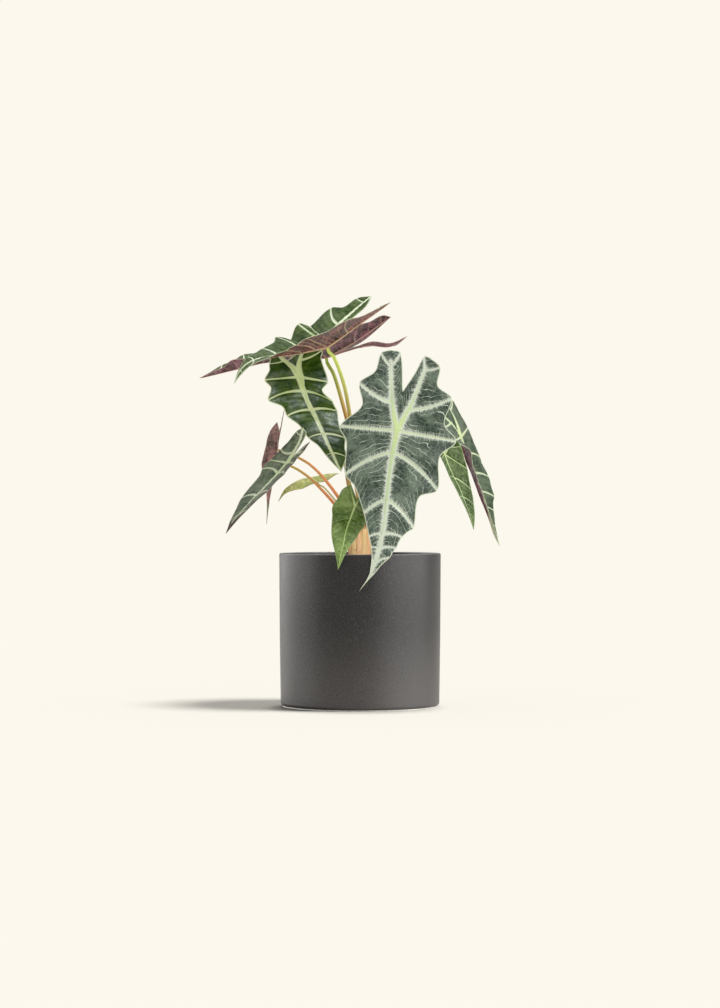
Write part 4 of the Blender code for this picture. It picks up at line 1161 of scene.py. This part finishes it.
def soil_material():
    """Dark damp peat with pale grains."""
    n = material_nodes("potting_soil")
    at = n.place()
    tone = n.noise(at, 320, 4.0, 0.7)
    pale = n.noise(at, 900)
    colour = n.mix(n.span(tone, 0.35, 0.66), (34, 25, 19), (88, 66, 48))
    colour = n.mix(n.span(pale, 0.66, 0.74, 0.0, 0.6), colour, (150, 132, 108))
    return n.finish(colour, 0.95, relief=tone * 1.2 + pale * 0.4, strength=1.0)


def soil_height(x, y):
    low = noise.noise(Vector((x, y, 0.0)) * 90.0)
    fine = noise.noise(Vector((x, y, 0.3)) * 420.0)
    return SOIL_TOP + SOIL_BUMP * low + SOIL_GRAIN * fine


def crumb_solid():
    """The corners and faces of a regular solid of twenty faces, which each crumb bends."""
    golden = (1 + 5**0.5) / 2
    corners = [(-1, golden, 0), (1, golden, 0), (-1, -golden, 0), (1, -golden, 0),
               (0, -1, golden), (0, 1, golden), (0, -1, -golden), (0, 1, -golden),
               (golden, 0, -1), (golden, 0, 1), (-golden, 0, -1), (-golden, 0, 1)]
    faces = [(0, 11, 5), (0, 5, 1), (0, 1, 7), (0, 7, 10), (0, 10, 11), (1, 5, 9), (5, 11, 4),
             (11, 10, 2), (10, 7, 6), (7, 1, 8), (3, 9, 4), (3, 4, 2), (3, 2, 6), (3, 6, 8),
             (3, 8, 9), (4, 9, 5), (2, 4, 11), (6, 2, 10), (8, 6, 7), (9, 8, 1)]
    return [Vector(corner).normalized() for corner in corners], faces


def make_soil():
    """Crumbly potting mix: a rough bed with bits of bark, peat and pumice lying on it."""
    outer = POT_RADIUS_TOP - POT_WALL - 0.2 * MM
    inner = STEM_HOLE - 2.0 * MM
    radii = [outer - (outer - inner) * ring / SOIL_RINGS for ring in range(SOIL_RINGS + 1)]
    levels = [(outer, False)] + [(radius, True) for radius in radii] + [(inner, False)]
    points = []
    for radius, on_top in levels:
        for side in range(SOIL_SIDES):
            angle = math.tau * side / SOIL_SIDES
            x, y = radius * math.cos(angle), radius * math.sin(angle)
            points.append((x, y, soil_height(x, y) if on_top else SOIL_TOP - SOIL_DEPTH))
    faces = band_faces(len(levels), SOIL_SIDES, closed=True)
    slots = [0] * len(faces)
    crumb_corners, crumb_faces = crumb_solid()
    chance = random.Random(11)
    for _ in range(SOIL_CRUMBS):
        away = math.sqrt(chance.uniform(inner**2, (outer - 1.5 * MM)**2))
        angle = chance.uniform(0, math.tau)
        x, y = away * math.cos(angle), away * math.sin(angle)
        kind = chance.choices((1, 2, 3), (0.42, 0.48, 0.10))[0]
        size = chance.uniform(0.7, 2.1) * MM * (1.0 if kind != 3 else 0.8)
        stretch = Vector((chance.uniform(0.7, 1.8), chance.uniform(0.6, 1.1),
                          chance.uniform(0.4, 0.8)))
        turn = chance.uniform(0, math.tau)
        offset = len(points)
        base = Vector((x, y, soil_height(x, y) + size * 0.2))
        for corner in crumb_corners:
            bit = corner * chance.uniform(0.75, 1.2) * size * stretch
            points.append(base + Vector((bit.x * math.cos(turn) - bit.y * math.sin(turn),
                                         bit.x * math.sin(turn) + bit.y * math.cos(turn), bit.z)))
        faces += [tuple(corner + offset for corner in face) for face in crumb_faces]
        slots += [kind] * len(crumb_faces)
    crumbs = [mottled(name, dark, light, (700, 3.0, 0.7), 0.18, 0.9, 0.6, 0.9)
              for name, dark, light in (("bark_crumb", (58, 40, 28), (116, 84, 58)),
                                        ("peat_crumb", (30, 22, 17), (70, 52, 38)),
                                        ("pumice_crumb", (176, 168, 152), (222, 216, 204)))]
    return fine_piece("soil", "potting_soil", 45, points, faces, [soil_material()] + crumbs, slots)


def set_world():
    """An even soft light from all round, behind which the camera sees the backdrop's tone."""
    world = bpy.data.worlds.new("studio")
    bpy.context.scene.world = world
    n = Nodes(world)
    n.tree.nodes.clear()
    seen = n.value("Background", {0: linear(BACKDROP)})
    light = n.value("Background", {0: (1.0, 1.0, 1.0, 1.0), 1: WORLD_LIGHT})
    camera_ray = n.value("LightPath", {}, "Is Camera Ray")
    both = n.value("MixShader", {0: camera_ray, 1: light, 2: seen})
    n.feed(n.tree.nodes.new("ShaderNodeOutputWorld").inputs[0], both)


def make_floor():
    """A pale floor that turns into the backdrop's own tone further off."""
    mesh = bpy.data.meshes.new("floor")
    corners = [(x * FLOOR_REACH, y * FLOOR_REACH, 0) for x, y in ((-1, -1), (1, -1), (1, 1), (-1, 1))]
    mesh.from_pydata(corners, [], [(0, 1, 2, 3)])
    n = material_nodes("pale_floor")
    distance = n.value("VectorMath", {0: n.place()}, "Value", operation="LENGTH")
    far = n.span(distance, FLOOR_FADES_FROM, FLOOR_FADES_TO)
    near_tone = linear(BACKDROP, FLOOR_SHADE)
    colour = n.value("Mix", {0: far, 6: near_tone, 7: linear((0, 0, 0))}, 2, data_type="RGBA")
    mesh.materials.append(n.finish(colour, 1.0, 0.0))
    inputs = n.tree.nodes["Principled BSDF"].inputs
    n.feed(inputs["Emission Strength"], far)
    n.feed(inputs["Emission Color"], linear(BACKDROP))
    floor = bpy.data.objects.new("floor", mesh)
    bpy.context.scene.collection.objects.link(floor)
    return floor


def set_camera():
    scene = bpy.context.scene
    scene.view_settings.view_transform = "Standard"
    scene.view_settings.look = "None"
    camera = bpy.data.objects.new("camera", bpy.data.cameras.new("camera"))
    camera.location = CAMERA_PLACE
    camera.rotation_euler = (math.radians(90), 0.0, 0.0)
    camera.data.sensor_width = CAMERA_FILM
    camera.data.lens = CAMERA_LENS
    camera.data.clip_end = 200.0
    scene.collection.objects.link(camera)
    scene.camera = camera


def group(name, things):
    """A collection for light linking, outside the scene's own tree."""
    made = bpy.data.collections.new(name)
    for thing in things:
        made.objects.link(thing)
    return made


def add_light(name, kind, lit, blockers, away):
    """A light that falls only on what is lit, from the side that away points to."""
    lamp = bpy.data.objects.new(name, bpy.data.lights.new(name, kind))
    lamp.light_linking.receiver_collection = lit
    lamp.light_linking.blocker_collection = blockers
    lamp.rotation_euler = Vector(away).to_track_quat("Z", "Y").to_euler()
    bpy.context.scene.collection.objects.link(lamp)
    return lamp


def add_sun(name, away, strength, spread, lit, blockers):
    lamp = add_light(name, "SUN", lit, blockers, away)
    lamp.data.energy = strength
    lamp.data.angle = math.radians(spread)


def add_panel(name, middle, size, radiance, lit, blockers, away):
    """A soft panel that faces the object."""
    lamp = add_light(name, "AREA", lit, blockers, away)
    lamp.data.shape = "RECTANGLE"
    lamp.data.size, lamp.data.size_y = size
    lamp.data.energy = radiance * math.pi * size[0] * size[1]
    lamp.location = middle
    lamp.visible_camera = False
    return lamp


def set_lights(floor, pot_things, plant_things):
    """The floor's own lights add up to the backdrop's tone, and only the pot shades it."""
    floor_only = group("lit_floor", [floor])
    pot_only = group("lit_pot", pot_things)
    plant_only = group("lit_plant", plant_things)
    stem_only = group("lit_stem", [thing for thing in plant_things if "stem_base" in thing.name])
    whole = group("lit_object", pot_things + plant_things)
    nothing = group("no_blockers", [floor])
    key = KEY_SHARE_OF_FLOOR / FLOOR_SHADE
    top = 1.0 / FLOOR_SHADE - WORLD_LIGHT - key
    add_sun("floor_key", KEY_FROM, key * math.pi / KEY_FROM[2], KEY_SPREAD, floor_only, pot_only)
    add_sun("floor_top", TOP_FROM, top * math.pi / TOP_FROM[2], TOP_SPREAD, floor_only, pot_only)
    add_sun("key", KEY_FROM, 2.0, KEY_SPREAD, whole, whole)
    add_sun("plant_fill", (0.10, -0.85, 0.5), 0.6, FILL_SPREAD, plant_only, nothing)
    add_sun("stem_fill", (0.3, -0.9, 0.3), 2.0, FILL_SPREAD, stem_only, nothing)
    add_sun("floor_glow", (0.8, -0.3, -0.55), 0.75, FILL_SPREAD, pot_only, stem_only)
    glossy = {name + "_fine" for name in LOOKS if LOOKS[name]["specular"] > GLOSSY_FROM}
    lit_glossy = group("lit_glossy", [thing for thing in plant_things if thing.name in glossy])
    for name, middle in (("gloss_left", (-0.95, -1.15, 0.65)), ("gloss_front", (0.2, -1.3, 1.2))):
        panel = add_panel(name, middle, GLOSS_SIZE, GLOSS_RADIANCE, lit_glossy, whole, middle)
        panel.data.color = GLOSS_COLOUR
        panel.visible_diffuse = False
    for name, side, middle, radiance in (("panel_right", (1, 0, 0), (1.5, -1.1, 1.2), 3.8),
                                         ("panel_left", (-1, 0, 0), (-1.5, 0.8, 1.2), 3.1)):
        add_panel(name, middle, PANEL_SIZE, radiance, pot_only, nothing, side)


def main():
    set_world()
    floor = make_floor()
    set_camera()
    pot_things = [make_pot(), make_soil()]
    courses = {}
    for name, shape in BLADES.items():
        junction, facing = make_blade(name, shape, SimpleNamespace(**LOOKS[name]))
        stalk = name.replace("leaf", "petiole")
        courses[stalk] = make_stalk(stalk, shape, junction, facing)
    make_stem_base(courses)
    plant_things = [thing for thing in bpy.context.scene.objects
                    if thing.name.endswith("_fine") and thing not in pot_things]
    set_lights(floor, pot_things, plant_things)


main()
